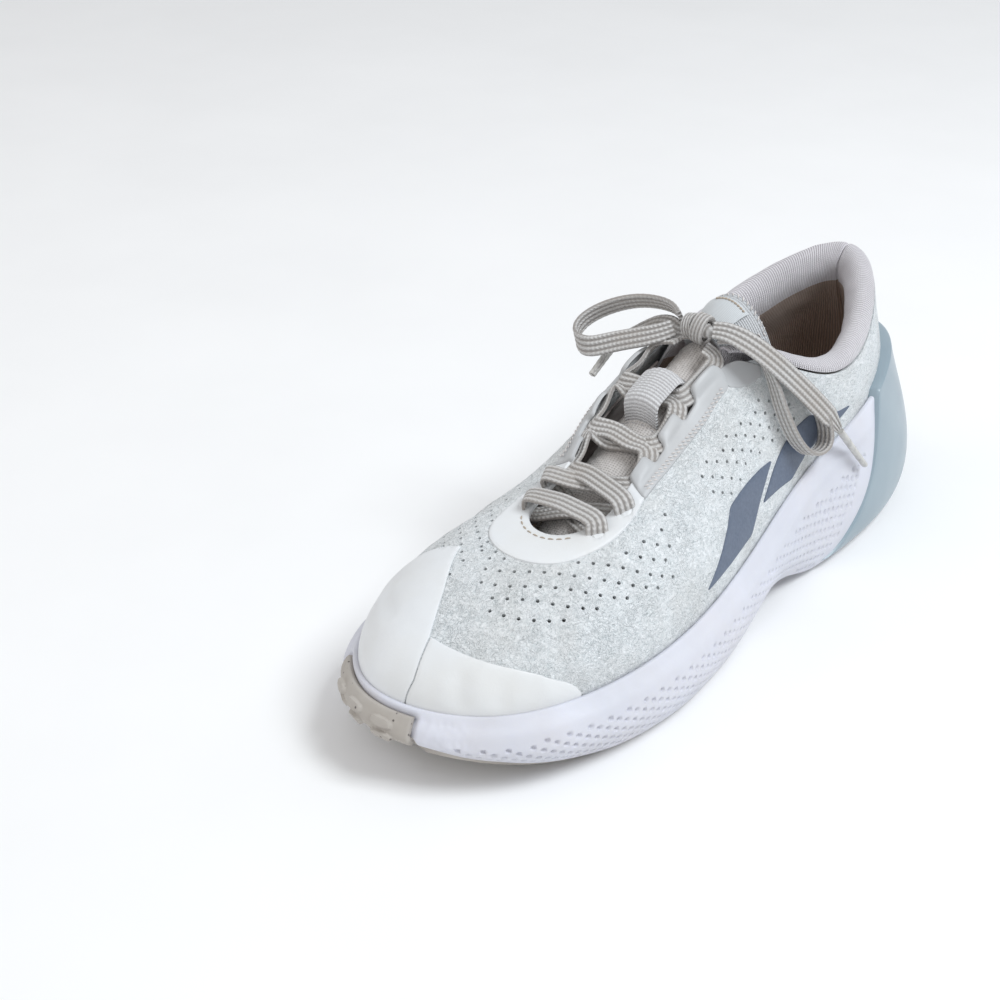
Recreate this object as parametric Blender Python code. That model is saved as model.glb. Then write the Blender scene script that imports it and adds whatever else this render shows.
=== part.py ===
"""A low-cut court shoe for the left foot, as an assembly of its separate pieces.

Units are metres and +Z is up. The toe points along -Y, the outer (lateral) side
is +X, and the sole rests on z = 0.  The shape comes from two closed outlines that
run round the shoe through sixteen stations: the line where the upper meets the
sole, with the shape of the upper above it, and the lower edge of the sole.
"""

import math

import bmesh
import bpy
import numpy as np
from mathutils import Vector

MM = 0.001

# Driving dimensions
COLUMNS = 48              # columns of faces round the shoe
GAP = 0.5 * MM            # clearance between touching pieces
UPPER_THICK = 1.6 * MM
OVERLAY_THICK = 1.2 * MM
COUNTER_THICK = 1.2 * MM
LINING_THICK = 0.8 * MM
SOLE_PAD = 2.4 * MM       # rubber outsole thickness
FOAM_RISE = 2.8 * MM      # underside of the midsole above the ground contact
LIP = 3.0 * MM            # width of the midsole edge round the upper
CLIP_THICK = 2.4 * MM
TOE_SPRING = 14.0 * MM
ARCH_RISE = 7.0 * MM
LACE_RADIUS = 1.1 * MM
TONGUE_THICK = 5.0 * MM

# The upper, one row for each station, in millimetres: the point on the feather
# line (x, y, z), the point on the top line (x, y, z), how far the profile sets off
# outwards and upwards from the feather line, and how far it comes in from outside
# and from below to the top line.
UPPER_STATIONS = [
    (-7, -139, 26, 4, -68, 61, 2, 17, 38, 3),       # toe
    (20, -130, 25, 12, -64, 62, 3, 17, 34, 4),
    (40, -104, 25, 17, -53, 66, 4, 17, 27, 6),      # outer toe joint
    (49, -62, 26, 16, -36, 74, 4, 18, 24, 9),       # outer ball
    (46, -18, 28, 12, -8, 85, 3, 21, 18, 14),
    (39, 24, 29, 15, 25, 95, 2, 24, 13, 20),        # outer waist
    (34.5, 68, 29, 34, 66, 77, 3, 22, 5, 16),
    (27.5, 116, 29, 25, 110, 86.5, 4, 24, 3, 18),
    (0, 137, 30, 0, 134, 95, 7, 28, 4, 20),         # heel
    (-27.5, 116, 29, -25, 110, 86.5, 4, 24, 3, 18),
    (-31.5, 68, 29, -32, 64, 78, 3, 22, 5, 16),
    (-27, 24, 30, -15, 24, 94, 2, 24, 11, 20),      # inner waist
    (-30, -20, 28, -15, -8, 84, 3, 21, 11, 14),
    (-39, -64, 26, -7, -37, 73, 3, 18, 17, 9),      # inner ball
    (-40, -102, 25, -5, -55, 65, 3, 17, 24, 6),
    (-29, -127, 25, -3, -65, 62, 3, 17, 32, 4),
]

# The lower edge of the sole at the same stations, in millimetres: its x and y, how
# far the side wall sets off outwards and upwards, how far it comes in to its top
# edge from outside and from below, the height of the top edge, and the share of
# the wall that the foam takes up under the heel clip.
SOLE_STATIONS = [
    (-6, -143, 5, 4, 6, 6, 27, 1.0),
    (23, -133, 6, 6, 7, 8, 26, 1.0),
    (44, -105, 7, 8, 8, 8, 26, 1.0),
    (54, -62, 5, 10, 8, 9, 27, 1.0),
    (50, -18, 4, 10, 7, 10, 30, 1.0),
    (43, 24, 5, 10, 5, 12, 37, 1.0),
    (44, 66, 6, 12, 4, 14, 50, 1.0),
    (35.5, 121, 10, 16, 3, 18, 64, 0.84),
    (0, 146, 13, 16, 2, 18, 66, 0.70),
    (-35.5, 121, 10, 16, 3, 18, 64, 0.84),
    (-41, 66, 6, 12, 4, 14, 50, 1.0),
    (-31, 24, 5, 10, 5, 12, 38, 1.0),
    (-35, -20, 4, 10, 7, 10, 31, 1.0),
    (-44, -66, 5, 10, 8, 9, 27, 1.0),
    (-44, -104, 5, 8, 7, 8, 26, 1.0),
    (-30, -127, 5, 6, 6, 8, 26, 1.0),
]

STATIONS = len(UPPER_STATIONS)
UP = np.array([0.0, 0.0, 1.0])

# Colours (red, green, blue), linear
SUEDE = (0.70, 0.74, 0.76)
SMOOTH = (0.72, 0.70, 0.67)
FOAM = (0.74, 0.74, 0.80)
CLIP = (0.46, 0.54, 0.56)
RUBBER = (0.42, 0.39, 0.36)
LACE = (0.48, 0.45, 0.42)
MESH = (0.60, 0.56, 0.54)
LINING = (0.52, 0.49, 0.51)
TAN = (0.45, 0.32, 0.24)
SLATE = (0.11, 0.14, 0.21)
DARK = (0.06, 0.06, 0.07)
BOARD = (0.72, 0.68, 0.60)


def clear_scene():
    for thing in list(bpy.data.objects):
        bpy.data.objects.remove(thing, do_unlink=True)


def paint(thing, colour, roughness, metallic=0.0):
    """Give the object its own Principled material."""
    material = bpy.data.materials.new(thing.name + "_finish")
    material.use_nodes = True
    shader = material.node_tree.nodes["Principled BSDF"]
    shader.inputs["Base Color"].default_value = (*colour, 1.0)
    shader.inputs["Roughness"].default_value = roughness
    shader.inputs["Metallic"].default_value = metallic
    thing.data.materials.clear()
    thing.data.materials.append(material)
    return thing


def add_mesh(name, points, faces):
    mesh = bpy.data.meshes.new(name)
    mesh.from_pydata([tuple(p) for p in points], [], faces)
    mesh.validate()
    thing = bpy.data.objects.new(name, mesh)
    bpy.context.scene.collection.objects.link(thing)
    build = bmesh.new()
    build.from_mesh(mesh)
    bmesh.ops.recalc_face_normals(build, faces=build.faces)
    build.to_mesh(mesh)
    build.free()
    mesh.shade_smooth()
    mesh.set_sharp_from_angle(angle=math.radians(35))
    return thing


# ---------------------------------------------------------------- closed outlines


class ClosedOutline:
    """A smooth closed curve through rows of numbers, one row for each station."""

    def __init__(self, rows):
        self.rows = np.array(rows, float)
        count = len(rows)
        spread = 4.0 * np.eye(count)
        spread += np.roll(np.eye(count), 1, axis=1) + np.roll(np.eye(count), -1, axis=1)
        ahead = np.roll(self.rows, -1, axis=0)
        behind = np.roll(self.rows, 1, axis=0)
        self.slopes = np.linalg.solve(spread, 3.0 * (ahead - behind))

    def at(self, s):
        s = np.asarray(s, float) % STATIONS
        first = np.floor(s).astype(int) % STATIONS
        second = (first + 1) % STATIONS
        f = (s - np.floor(s))[..., None]
        return (
            self.rows[first] * (1 + 2 * f) * (1 - f) ** 2
            + self.slopes[first] * f * (1 - f) ** 2
            + self.rows[second] * f * f * (3 - 2 * f)
            + self.slopes[second] * f * f * (f - 1)
        )


UPPER = ClosedOutline(UPPER_STATIONS)
SOLE = ClosedOutline(SOLE_STATIONS)


def bezier(p0, p1, p2, p3, t):
    t = np.asarray(t, float)[..., None]
    return (
        (1 - t) ** 3 * p0 + 3 * (1 - t) ** 2 * t * p1 + 3 * (1 - t) * t * t * p2 + t**3 * p3
    )


def outward(s):
    """The horizontal direction away from the shoe at each station."""
    step = 0.02
    ahead = UPPER.at(np.asarray(s) + step)[..., :2]
    behind = UPPER.at(np.asarray(s) - step)[..., :2]
    along = ahead - behind
    across = np.stack([along[..., 1], -along[..., 0]], axis=-1)
    across /= np.linalg.norm(across, axis=-1, keepdims=True)
    return np.concatenate([across, np.zeros(across.shape[:-1] + (1,))], axis=-1)


def upper_base(s, t):
    """A point on the upper's outer face: t is 0 at the feather line, 1 at the top."""
    row = UPPER.at(s) * MM
    side = outward(s)
    foot = row[..., 0:3]
    top = row[..., 3:6]
    first = foot + side * row[..., 6:7] + UP * row[..., 7:8]
    second = top + side * row[..., 8:9] - UP * row[..., 9:10]
    return bezier(foot, first, second, top, t)


def surface_normal(surface, s, t):
    step = 0.01
    along = surface(s + step, t) - surface(s - step, t)
    rise = surface(s, np.clip(t + step, 0, 1)) - surface(s, np.clip(t - step, 0, 1))
    normal = np.cross(along, rise)
    return normal / np.linalg.norm(normal, axis=-1, keepdims=True)


def upper(s, t, lift=0.0):
    s, t = np.broadcast_arrays(np.asarray(s, float), np.asarray(t, float))
    return upper_base(s, t) + surface_normal(upper_base, s, t) * np.asarray(lift)[..., None]


def ground(y):
    """The height of the ground contact: toe spring, flat tread, arch, heel bevel."""
    y = np.asarray(y, float) / MM
    toe = TOE_SPRING * np.clip((-72 - y) / 72, 0, 2) ** 2
    arch = ARCH_RISE * np.sin(np.pi * np.clip((y + 12) / 62, 0, 1)) ** 2
    heel = 5 * MM * np.clip((y - 118) / 30, 0, 2) ** 2
    return toe + arch + heel


PROFILE = np.linspace(0, 1, 61)


def height_to_t(s, z):
    """Where the upper's outer face at station s reaches the height z."""
    found = []
    for station, height in zip(np.atleast_1d(s), np.atleast_1d(z)):
        heights = upper_base(np.full_like(PROFILE, station), PROFILE)[:, 2]
        found.append(np.interp(height, heights, PROFILE))
    return np.array(found)


def lip_t(s):
    return height_to_t(s, SOLE.at(s)[..., 6] * MM)


def wall(s, t, lift=0.0):
    """A point on the sole's side wall: t is 0 at its lower edge, 1 at the lip."""
    s = np.atleast_1d(np.asarray(s, float))
    row = SOLE.at(s)
    side = outward(s)
    x, y = row[..., 0] * MM, row[..., 1] * MM
    foot = np.stack([x, y, ground(y) + FOAM_RISE], axis=-1)
    top = upper(s, lip_t(s), 0.5 * LIP) + side * 0.5 * LIP
    first = foot + (side * row[..., 2:3] + UP * row[..., 3:4]) * MM
    second = top + (side * row[..., 4:5] - UP * row[..., 5:6]) * MM
    base = bezier(foot, first, second, top, t)
    return base + side * np.asarray(lift)[..., None]


# ---------------------------------------------------------------- solid builders


def slab(name, outer, inner, ring=False):
    """A closed solid between two grids of points of the same shape.

    With ring set the grids close on themselves along their first direction.
    """
    rows, across = outer.shape[:2]
    points = np.concatenate([outer.reshape(-1, 3), inner.reshape(-1, 3)])
    under = rows * across
    faces = []
    last = rows if ring else rows - 1
    for i in range(last):
        j = (i + 1) % rows
        for k in range(across - 1):
            a, b = i * across + k, j * across + k
            faces.append((a, b, b + 1, a + 1))
            faces.append((under + a, under + a + 1, under + b + 1, under + b))
        for k in (0, across - 1):
            a, b = i * across + k, j * across + k
            faces.append((a, b, under + b, under + a))
    if not ring:
        for i in (0, rows - 1):
            for k in range(across - 1):
                a = i * across + k
                faces.append((a, a + 1, under + a + 1, under + a))
    return add_mesh(name, points, faces)


def stations_between(start, end, extra=()):
    """The shared columns between two stations, and the two ends."""
    step = STATIONS / COLUMNS
    first = math.floor(start / step) + 1
    inside = [k * step for k in range(first, math.ceil(end / step))]
    inside = [s for s in inside if s - start > 0.08 and end - s > 0.08]
    return np.array(sorted([start, end, *inside, *extra]))


def upper_patch(name, columns, low, high, inner, outer, rows=5):
    """A layer on the upper between two heights and two distances from its face."""
    columns = np.asarray(columns, float)
    share = np.linspace(0, 1, rows)
    t = low[:, None] * (1 - share) + high[:, None] * share
    s = np.repeat(columns[:, None], rows, axis=1)
    lift = np.ones_like(t)
    return slab(name, upper(s, t, lift * outer), upper(s, t, lift * inner))


def wall_patch(name, columns, low, high, inner, outer, rows=6):
    """A layer on the sole's side wall, as upper_patch."""
    share = np.linspace(0, 1, rows)
    t = low[:, None] * (1 - share) + high[:, None] * share
    lift = np.ones_like(columns)
    front = [wall(columns, t[:, k], lift * outer) for k in range(rows)]
    back = [wall(columns, t[:, k], lift * inner) for k in range(rows)]
    return slab(name, np.stack(front, axis=1), np.stack(back, axis=1))


def blend_heights(columns, knots):
    """Heights at the columns, read off straight lines between (station, height)."""
    stations, heights = zip(*knots)
    return np.interp(columns, stations, heights)


def bridge(name, outline_low, outline_high, across=6):
    """A closed plate that fills an outline: the points at s and at -s are joined."""
    count = len(outline_low)
    half = count // 2
    points, faces = [], []
    layers = []
    for outline in (outline_low, outline_high):
        grid = []
        for i in range(half + 1):
            a, b = outline[i], outline[(count - i) % count]
            steps = [0] if i in (0, half) else range(across + 1)
            line = []
            for k in steps:
                line.append(len(points))
                points.append(a + (b - a) * k / across)
            grid.append(line)
        layers.append(grid)
    for grid in layers:
        for i in range(half):
            near, far = grid[i], grid[i + 1]
            if len(near) == 1:
                faces += [(near[0], far[k], far[k + 1]) for k in range(across)]
            elif len(far) == 1:
                faces += [(near[k], near[k + 1], far[0]) for k in range(across)]
            else:
                faces += [(near[k], near[k + 1], far[k + 1], far[k]) for k in range(across)]
    low, high = layers
    for i in range(half):
        for end in (0, -1):
            faces.append((low[i][end], low[i + 1][end], high[i + 1][end], high[i][end]))
    return add_mesh(name, points, faces)


def cut(body, cutter):
    """Take the cutter's shape out of the body."""
    cutter.hide_render = True
    cutter.display_type = "WIRE"
    removal = body.modifiers.new("cut_" + cutter.name, "BOOLEAN")
    removal.operation = "DIFFERENCE"
    removal.solver = "EXACT"
    removal.object = cutter


def full_ring():
    return np.arange(COLUMNS) * STATIONS / COLUMNS


# ---------------------------------------------------------------- the upper


# Stations of the two ends of each eyestay tooth, which the lace runs behind
TEETH = [(2.86, 3.26), (3.62, 3.95), (4.30, 4.64)]
EYESTAY_FRONT = 2.8
EYESTAY_BACK = 4.74
THROAT_EDGE = 0.885       # height where the suede ends and the overlays carry on


def throat_top(columns):
    """The suede stops short of the throat, where the patch and eyestays carry on."""
    side = np.minimum(columns, STATIONS - columns)
    knots = [(0, THROAT_EDGE), (4.75, THROAT_EDGE), (5.3, 1.0)]
    return blend_heights(side, knots)


def make_upper_shell():
    columns = full_ring()
    rows = 10
    share = np.linspace(0, 1, rows)
    s = np.repeat(columns[:, None], rows, axis=1)
    t = throat_top(columns)[:, None] * share
    inner = upper(s, t, np.full_like(t, -UPPER_THICK))
    shell = slab("upper_suede", upper(s, t, np.zeros_like(t)), inner, ring=True)
    return paint(shell, SUEDE, 0.95)


def above_lip(columns, extra=0.0):
    """Just above the top edge of the midsole."""
    return lip_t(columns) + 0.035 + extra


def make_toe_pieces():
    """The smooth toe cap with its wing along the inner side, and the outer overlay."""
    cap_columns = stations_between(-1.72, 0.3)
    cap_top = blend_heights(
        cap_columns,
        [(-1.72, 0.30), (-1.2, 0.56), (-0.77, 0.72), (-0.22, 0.61), (0.12, 0.43), (0.3, 0.26)],
    )
    inner, outer = GAP, GAP + OVERLAY_THICK
    cap = upper_patch(
        "toe_cap", cap_columns, above_lip(cap_columns), cap_top, 1.6 * inner, outer, rows=11
    )
    side_columns = stations_between(0.35, 2.05)
    side_top = blend_heights(
        side_columns, [(0.35, 0.40), (0.57, 0.395), (1.16, 0.34), (1.6, 0.27), (2.05, 0.15)]
    )
    side = upper_patch(
        "toe_overlay_lateral", side_columns, above_lip(side_columns), side_top, inner, outer
    )
    puff_columns = stations_between(-1.9, 1.9)
    inside = -UPPER_THICK - GAP
    puff = upper_patch(
        "toe_puff",
        puff_columns,
        np.full_like(puff_columns, 0.07),
        blend_heights(puff_columns, [(-1.9, 0.30), (0, 0.40), (1.9, 0.30)]),
        inside - COUNTER_THICK,
        inside,
    )
    return [paint(cap, SMOOTH, 0.5), paint(side, SMOOTH, 0.5), paint(puff, BOARD, 0.7)]


VAMP_EYELETS = [(1.62, 0.925), (2.38, 0.917)]
EYELET_RADIUS = 2.7 * MM


def make_vamp_patch():
    """The smooth U round the foot of the throat, with the first lace holes."""
    columns = stations_between(-2.74, 2.74)
    side = np.abs(columns)
    low = blend_heights(side, [(0, 0.84), (0.8, 0.83), (1.5, 0.845), (2.3, 0.85), (2.74, 0.87)])
    high = np.full_like(side, 0.975)
    patch = upper_patch(
        "vamp_eyelet_patch", columns, low, high, GAP, GAP + OVERLAY_THICK, rows=4
    )
    for number, (s, t) in enumerate(VAMP_EYELETS):
        for side_name, station in (("lateral", s), ("medial", -s)):
            centre = Vector(upper([station], [t])[0])
            normal = Vector(surface_normal(upper_base, np.array([station]), np.array([t]))[0])
            cut(patch, make_drill(f"eyelet_{side_name}_{number}", centre, normal))
    return paint(patch, SMOOTH, 0.5)


def make_drill(name, centre, axis):
    shape = bmesh.new()
    bmesh.ops.create_cone(
        shape, cap_ends=True, segments=12, radius1=EYELET_RADIUS, radius2=EYELET_RADIUS, depth=9 * MM
    )
    mesh = bpy.data.meshes.new(name)
    shape.to_mesh(mesh)
    shape.free()
    drill = bpy.data.objects.new(name, mesh)
    drill.location = centre
    drill.rotation_mode = "QUATERNION"
    drill.rotation_quaternion = axis.to_track_quat("Z", "Y")
    bpy.context.scene.collection.objects.link(drill)
    return drill


def eyestay_columns():
    """Columns of an eyestay, doubled at the sides of each tooth."""
    slope = 0.04
    edge, valley = 0.992, 0.94
    columns = {EYESTAY_FRONT: edge, EYESTAY_BACK: 0.95}
    for start, end in TEETH:
        columns[(start + end) / 2] = edge
    for (_, end), (start, _) in zip(TEETH, TEETH[1:]):
        columns[end] = edge
        columns[end + slope] = valley
        columns[start - slope] = valley
        columns[start] = edge
    columns[TEETH[-1][1]] = edge
    stations = np.array(sorted(columns))
    return stations, np.array([columns[s] for s in stations])


def make_eyestays():
    made = []
    outer_edge = [(2.8, 0.885), (3.16, 0.88), (3.76, 0.85), (4.27, 0.822), (4.74, 0.856)]
    for name, sign in (("eyestay_lateral", 1), ("eyestay_medial", -1)):
        stations, high = eyestay_columns()
        low = blend_heights(stations, outer_edge) - 0.012
        if sign < 0:
            stations, high, low = (STATIONS - stations)[::-1], high[::-1], low[::-1]
        band = upper_patch(name, stations, low, high, GAP, GAP + 1.5 * MM, rows=4)
        made.append(paint(band, SMOOTH, 0.45))
    for name, sign in (("eyelet_tab_lateral", 1), ("eyelet_tab_medial", -1)):
        stations = stations_between(4.79, 5.24)
        low = blend_heights(stations, [(4.79, 0.79), (5.0, 0.80), (5.24, 0.86)])
        high = blend_heights(stations, [(4.79, 0.96), (5.24, 0.955)])
        if sign < 0:
            stations, high, low = (STATIONS - stations)[::-1], high[::-1], low[::-1]
        tab = upper_patch(name, stations, low, high, GAP, GAP + OVERLAY_THICK, rows=4)
        made.append(paint(tab, SMOOTH, 0.5))
    return made


def make_heel_counter():
    columns = stations_between(6.0, 10.0)
    side = np.abs(columns - 8)
    inside = -UPPER_THICK - GAP
    counter = upper_patch(
        "heel_counter",
        columns,
        np.full_like(columns, 0.07),
        blend_heights(side, [(0, 0.62), (1.2, 0.55), (2, 0.25)]),
        inside - COUNTER_THICK,
        inside,
    )
    return paint(counter, BOARD, 0.7)


LINING_FACE = UPPER_THICK + COUNTER_THICK + 2.5 * GAP
COLLAR_START = 4.95
COLLAR_END = STATIONS - COLLAR_START


def make_vamp_lining():
    columns = stations_between(-COLLAR_START + 0.12, COLLAR_START - 0.12)
    high = throat_top(np.abs(columns)) - 0.02
    lining = upper_patch(
        "vamp_lining",
        columns,
        np.full_like(columns, 0.07),
        high,
        -LINING_FACE - LINING_THICK,
        -LINING_FACE,
        rows=7,
    )
    return paint(lining, LINING, 0.9)


# The collar's section from its outer seam over the top and down inside: the height
# along the upper, how far in, and how far above the top line, in millimetres.
COLLAR_SECTION = [
    (1.0, 0.4, 0.8),
    (1.0, 0.9, 3.2),
    (1.0, 4.0, 5.4),
    (1.0, 8.0, 4.6),
    (0.985, 11.3, 1.0),
    (0.90, 12.6, 0.0),
    (0.76, 11.4, 0.0),
    (0.60, 9.0, 0.0),
    (0.44, 7.0, 0.0),
    (0.28, 5.6, 0.0),
    (0.07, 5.0, 0.0),
]


def collar_grid(columns, skin):
    """The collar's face, moved by skin along the section's own depth."""
    fullness = blend_heights(
        np.abs(columns - 8), [(0, 1.0), (2.4, 1.0), (8 - COLLAR_START, 0.45)]
    )
    side = outward(columns)
    lines = []
    for t, depth, rise in COLLAR_SECTION:
        reach = np.maximum(depth * fullness, 4.9 if t < 0.98 else 0.4) * MM
        lift = rise * fullness * MM
        away = skin if depth > 2 else 0.0
        drop = skin if rise > 2 else 0.0
        base = upper_base(columns, np.full_like(columns, t))
        lines.append(
            base - side * (reach - away)[:, None] + UP * (lift - drop)[:, None]
        )
    return np.stack(lines, axis=1)


def make_collar():
    columns = stations_between(COLLAR_START, COLLAR_END)
    skin = collar_grid(columns, 0.0)
    back = collar_grid(columns, 0.9 * MM)
    back[:, 0] = skin[:, 0] - outward(columns) * 0.9 * MM
    back[:, 1] = skin[:, 1] - outward(columns) * 0.9 * MM - UP * 0.3 * MM
    lining = paint(slab("collar_lining", skin, back), LINING, 0.95)

    columns = stations_between(COLLAR_START + 0.7, COLLAR_END - 0.7)
    face = collar_grid(columns, 1.5 * MM)[:, 4:9]
    side = outward(columns)
    heights = [row[0] for row in COLLAR_SECTION[4:9]]
    lines = []
    for t in heights:
        base = upper_base(columns, np.full_like(columns, min(t, 0.975)))
        lines.append(base - side * (LINING_FACE + 0.2 * MM))
    behind = np.stack(lines, axis=1)
    face[:, 0] = behind[:, 0] - side * 4.0 * MM
    foam = paint(slab("collar_foam", behind, face), MESH, 0.95)
    return [lining, foam]


# ---------------------------------------------------------------- inside the shoe


def inset(outline, distance):
    """Move a closed outline inwards, level."""
    ahead = np.roll(outline, -1, axis=0)
    behind = np.roll(outline, 1, axis=0)
    along = (ahead - behind)[:, :2]
    across = np.stack([along[:, 1], -along[:, 0]], axis=1)
    across /= np.linalg.norm(across, axis=1, keepdims=True)
    moved = outline.copy()
    moved[:, :2] -= across * distance
    return moved


def feather_outline():
    return UPPER.at(full_ring())[:, :3] * MM


SOCKLINER_TOP = 6.5 * MM


def make_insoles():
    board_edge = inset(feather_outline(), UPPER_THICK + 2 * GAP)
    board = bridge("strobel_board", board_edge - UP * 0.3 * MM, board_edge + UP * 0.9 * MM)
    seat = inset(feather_outline(), LINING_FACE + LINING_THICK + 3.6 * MM)
    level = seat[:, 2].mean()
    low = seat.copy()
    low[:, 2] += 1.4 * MM
    high = seat.copy()
    high[:, 2] = level + SOCKLINER_TOP
    sockliner = bridge("sockliner", low, high)
    return [paint(board, BOARD, 0.9), paint(sockliner, TAN, 0.9)]


# ---------------------------------------------------------------- the sole


def make_midsole():
    columns = full_ring()
    foam_share = SOLE.at(columns)[:, 7]
    rings = []
    foot = wall(columns, np.zeros(COLUMNS), np.zeros(COLUMNS))
    rings.append(inset(foot, 2.0 * MM))
    for share in (0.04, 0.16, 0.32, 0.5, 0.68, 0.84, 0.96):
        rings.append(wall(columns, share * foam_share, np.zeros(COLUMNS)))
    top_t = height_to_t(columns, rings[-1][:, 2])
    rings[-1] = wall(columns, 0.96 * foam_share, np.full(COLUMNS, -0.2 * MM))
    clear = np.full(COLUMNS, 0.5 * MM)
    rings.append(upper(columns, top_t + 0.012, clear + 1.0 * MM))
    rings.append(upper(columns, top_t, clear))
    rings.append(upper(columns, 0.66 * top_t, clear))
    rings.append(upper(columns, 0.33 * top_t, clear))
    edge = feather_outline()
    rings.append(inset(edge, -0.6 * MM) - UP * 0.8 * MM)
    rings.append(inset(edge, 3.0 * MM) - UP * 0.9 * MM)

    points, faces = [], []
    for ring in rings:
        points.extend(ring)
    for level in range(len(rings) - 1):
        for i in range(COLUMNS):
            j = (i + 1) % COLUMNS
            a, b = level * COLUMNS + i, level * COLUMNS + j
            faces.append((a, b, b + COLUMNS, a + COLUMNS))
    half, across = COLUMNS // 2, 6
    for first in (0, (len(rings) - 1) * COLUMNS):
        grid = []
        for i in range(half + 1):
            left, right = first + i, first + (COLUMNS - i) % COLUMNS
            if i in (0, half):
                grid.append([left])
                continue
            line = [left]
            for k in range(1, across):
                line.append(len(points))
                share = k / across
                middle = points[left] * (1 - share) + points[right] * share
                if first == 0:
                    middle[2] = ground(middle[1]) + FOAM_RISE
                points.append(middle)
            line.append(right)
            grid.append(line)
        for near, far in zip(grid, grid[1:]):
            if len(near) == 1:
                faces += [(near[0], far[k], far[k + 1]) for k in range(across)]
            elif len(far) == 1:
                faces += [(near[k], near[k + 1], far[0]) for k in range(across)]
            else:
                faces += [(near[k], near[k + 1], far[k + 1], far[k]) for k in range(across)]
    return paint(add_mesh("midsole", points, faces), FOAM, 0.75)


def clip_layer(name, inner, outer, grow=0.0, margin=None, rows=8):
    """A layer of the heel clip's outline: its front edges sweep back as they rise.

    A margin adds one more row below and above, for the seat cut in the foam.
    """
    share = np.linspace(0, 1, rows)
    heights = 0.03 + 0.97 * share
    if margin:
        share = np.array([0, *share, 1])
        heights = np.array([heights[0] - margin, *heights, heights[-1] + margin])
    steps = np.linspace(-1, 1, 25)
    front, back = [], []
    for part, t in zip(share, heights):
        lead = 5.62 + 0.98 * part**0.55
        s = 8 + (8 - lead + grow) * steps
        level = np.full_like(s, t)
        front.append(wall(s, level, np.full_like(s, outer)))
        back.append(wall(s, level, np.full_like(s, inner)))
    return slab(name, np.stack(front, axis=1), np.stack(back, axis=1))


def bumper_layer(name, inner, outer, low, high, grow=0.0, rows=5):
    columns = stations_between(-1.05 - grow, 0.5 + grow)
    low = np.full_like(columns, low)
    high = np.full_like(columns, high)
    return wall_patch(name, columns, low, high, inner, outer, rows)


def sole_plate(name, start, end, inset_by, low, high, across=6):
    """A plate under the sole between two stations and their partners opposite."""
    columns = stations_between(start, end)
    grids = []
    for height in (low, high):
        near = SOLE.at(columns)[:, :2] * MM
        far = SOLE.at(-columns)[:, :2] * MM
        middle = (near + far) / 2
        reach = np.linalg.norm(near - far, axis=1, keepdims=True) / 2
        near = middle + (near - middle) * (1 - inset_by / reach)
        far = middle + (far - middle) * (1 - inset_by / reach)
        lines = []
        for k in range(across + 1):
            flat = near + (far - near) * k / across
            z = ground(flat[:, 1]) + height
            lines.append(np.column_stack([flat, z]))
        grids.append(np.stack(lines, axis=1))
    return slab(name, grids[1], grids[0])


def make_sole_pieces(midsole):
    proud = 0.6 * MM
    clip = clip_layer("heel_clip", proud - CLIP_THICK, proud)
    grow = 0.045
    cutter = clip_layer("clip_seat", proud - CLIP_THICK - 2 * GAP, 6 * MM, grow, 0.045)
    cut(midsole, cutter)
    bumper = bumper_layer("toe_bumper", -1.6 * MM, 0.5 * MM, 0.06, 0.98)
    cutter = bumper_layer("bumper_seat", -2.0 * MM, 6 * MM, -0.02, 1.04, grow)
    cut(midsole, cutter)
    forefoot = sole_plate("outsole_forefoot", 0.7, 3.75, 3.5 * MM, 0.0, SOLE_PAD)
    heel = sole_plate("outsole_heel", 5.78, 7.6, 4.5 * MM, 0.0, SOLE_PAD)
    shank = sole_plate("midfoot_shank", 3.95, 5.6, 12 * MM, 0.6 * MM, SOLE_PAD)
    return [
        paint(clip, CLIP, 0.35),
        paint(bumper, RUBBER, 0.8),
        paint(forefoot, RUBBER, 0.8),
        paint(heel, RUBBER, 0.8),
        paint(shank, DARK, 0.4),
    ]


# ---------------------------------------------------------------- the tongue


# Rows up the tongue in millimetres: the middle of its top face (x, y, z), half its
# width, and how far its edges drop.
TONGUE_ROWS = [
    (4, -64, 53.0, 14, 5),
    (4, -50, 60.0, 18, 9),
    (4, -30, 70.0, 20, 14),
    (3, -8, 80.5, 20, 19),
    (2, 12, 89.0, 18, 21),
    (1.5, 24, 95.0, 16, 21),
]
TONGUE_TOP_ROWS = [
    (1, 26, 98.0, 7.5, 5),
    (1.5, 33, 104.0, 10, 8),
    (2, 38, 108.0, 12, 12),
    (2.5, 43, 109.0, 13, 13),
]
TONGUE_HINGE = Vector((4, -64, 52)) * MM      # where the tongue is sewn in and bends


def tongue_grid(rows, depth, across=8):
    grid = []
    for x, y, z, half, drop in rows:
        line = []
        for k in range(across + 1):
            u = 2 * k / across - 1
            height = z - drop * u * u
            line.append((x - half * u, y, height))
        grid.append(line)
    grid = np.array(grid) * MM
    along = np.gradient(grid, axis=0)
    sideways = np.gradient(grid, axis=1)
    normal = np.cross(sideways, along)
    normal /= np.linalg.norm(normal, axis=2, keepdims=True)
    normal *= np.sign(normal[..., 2:3])
    return grid - normal * np.asarray(depth)


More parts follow.
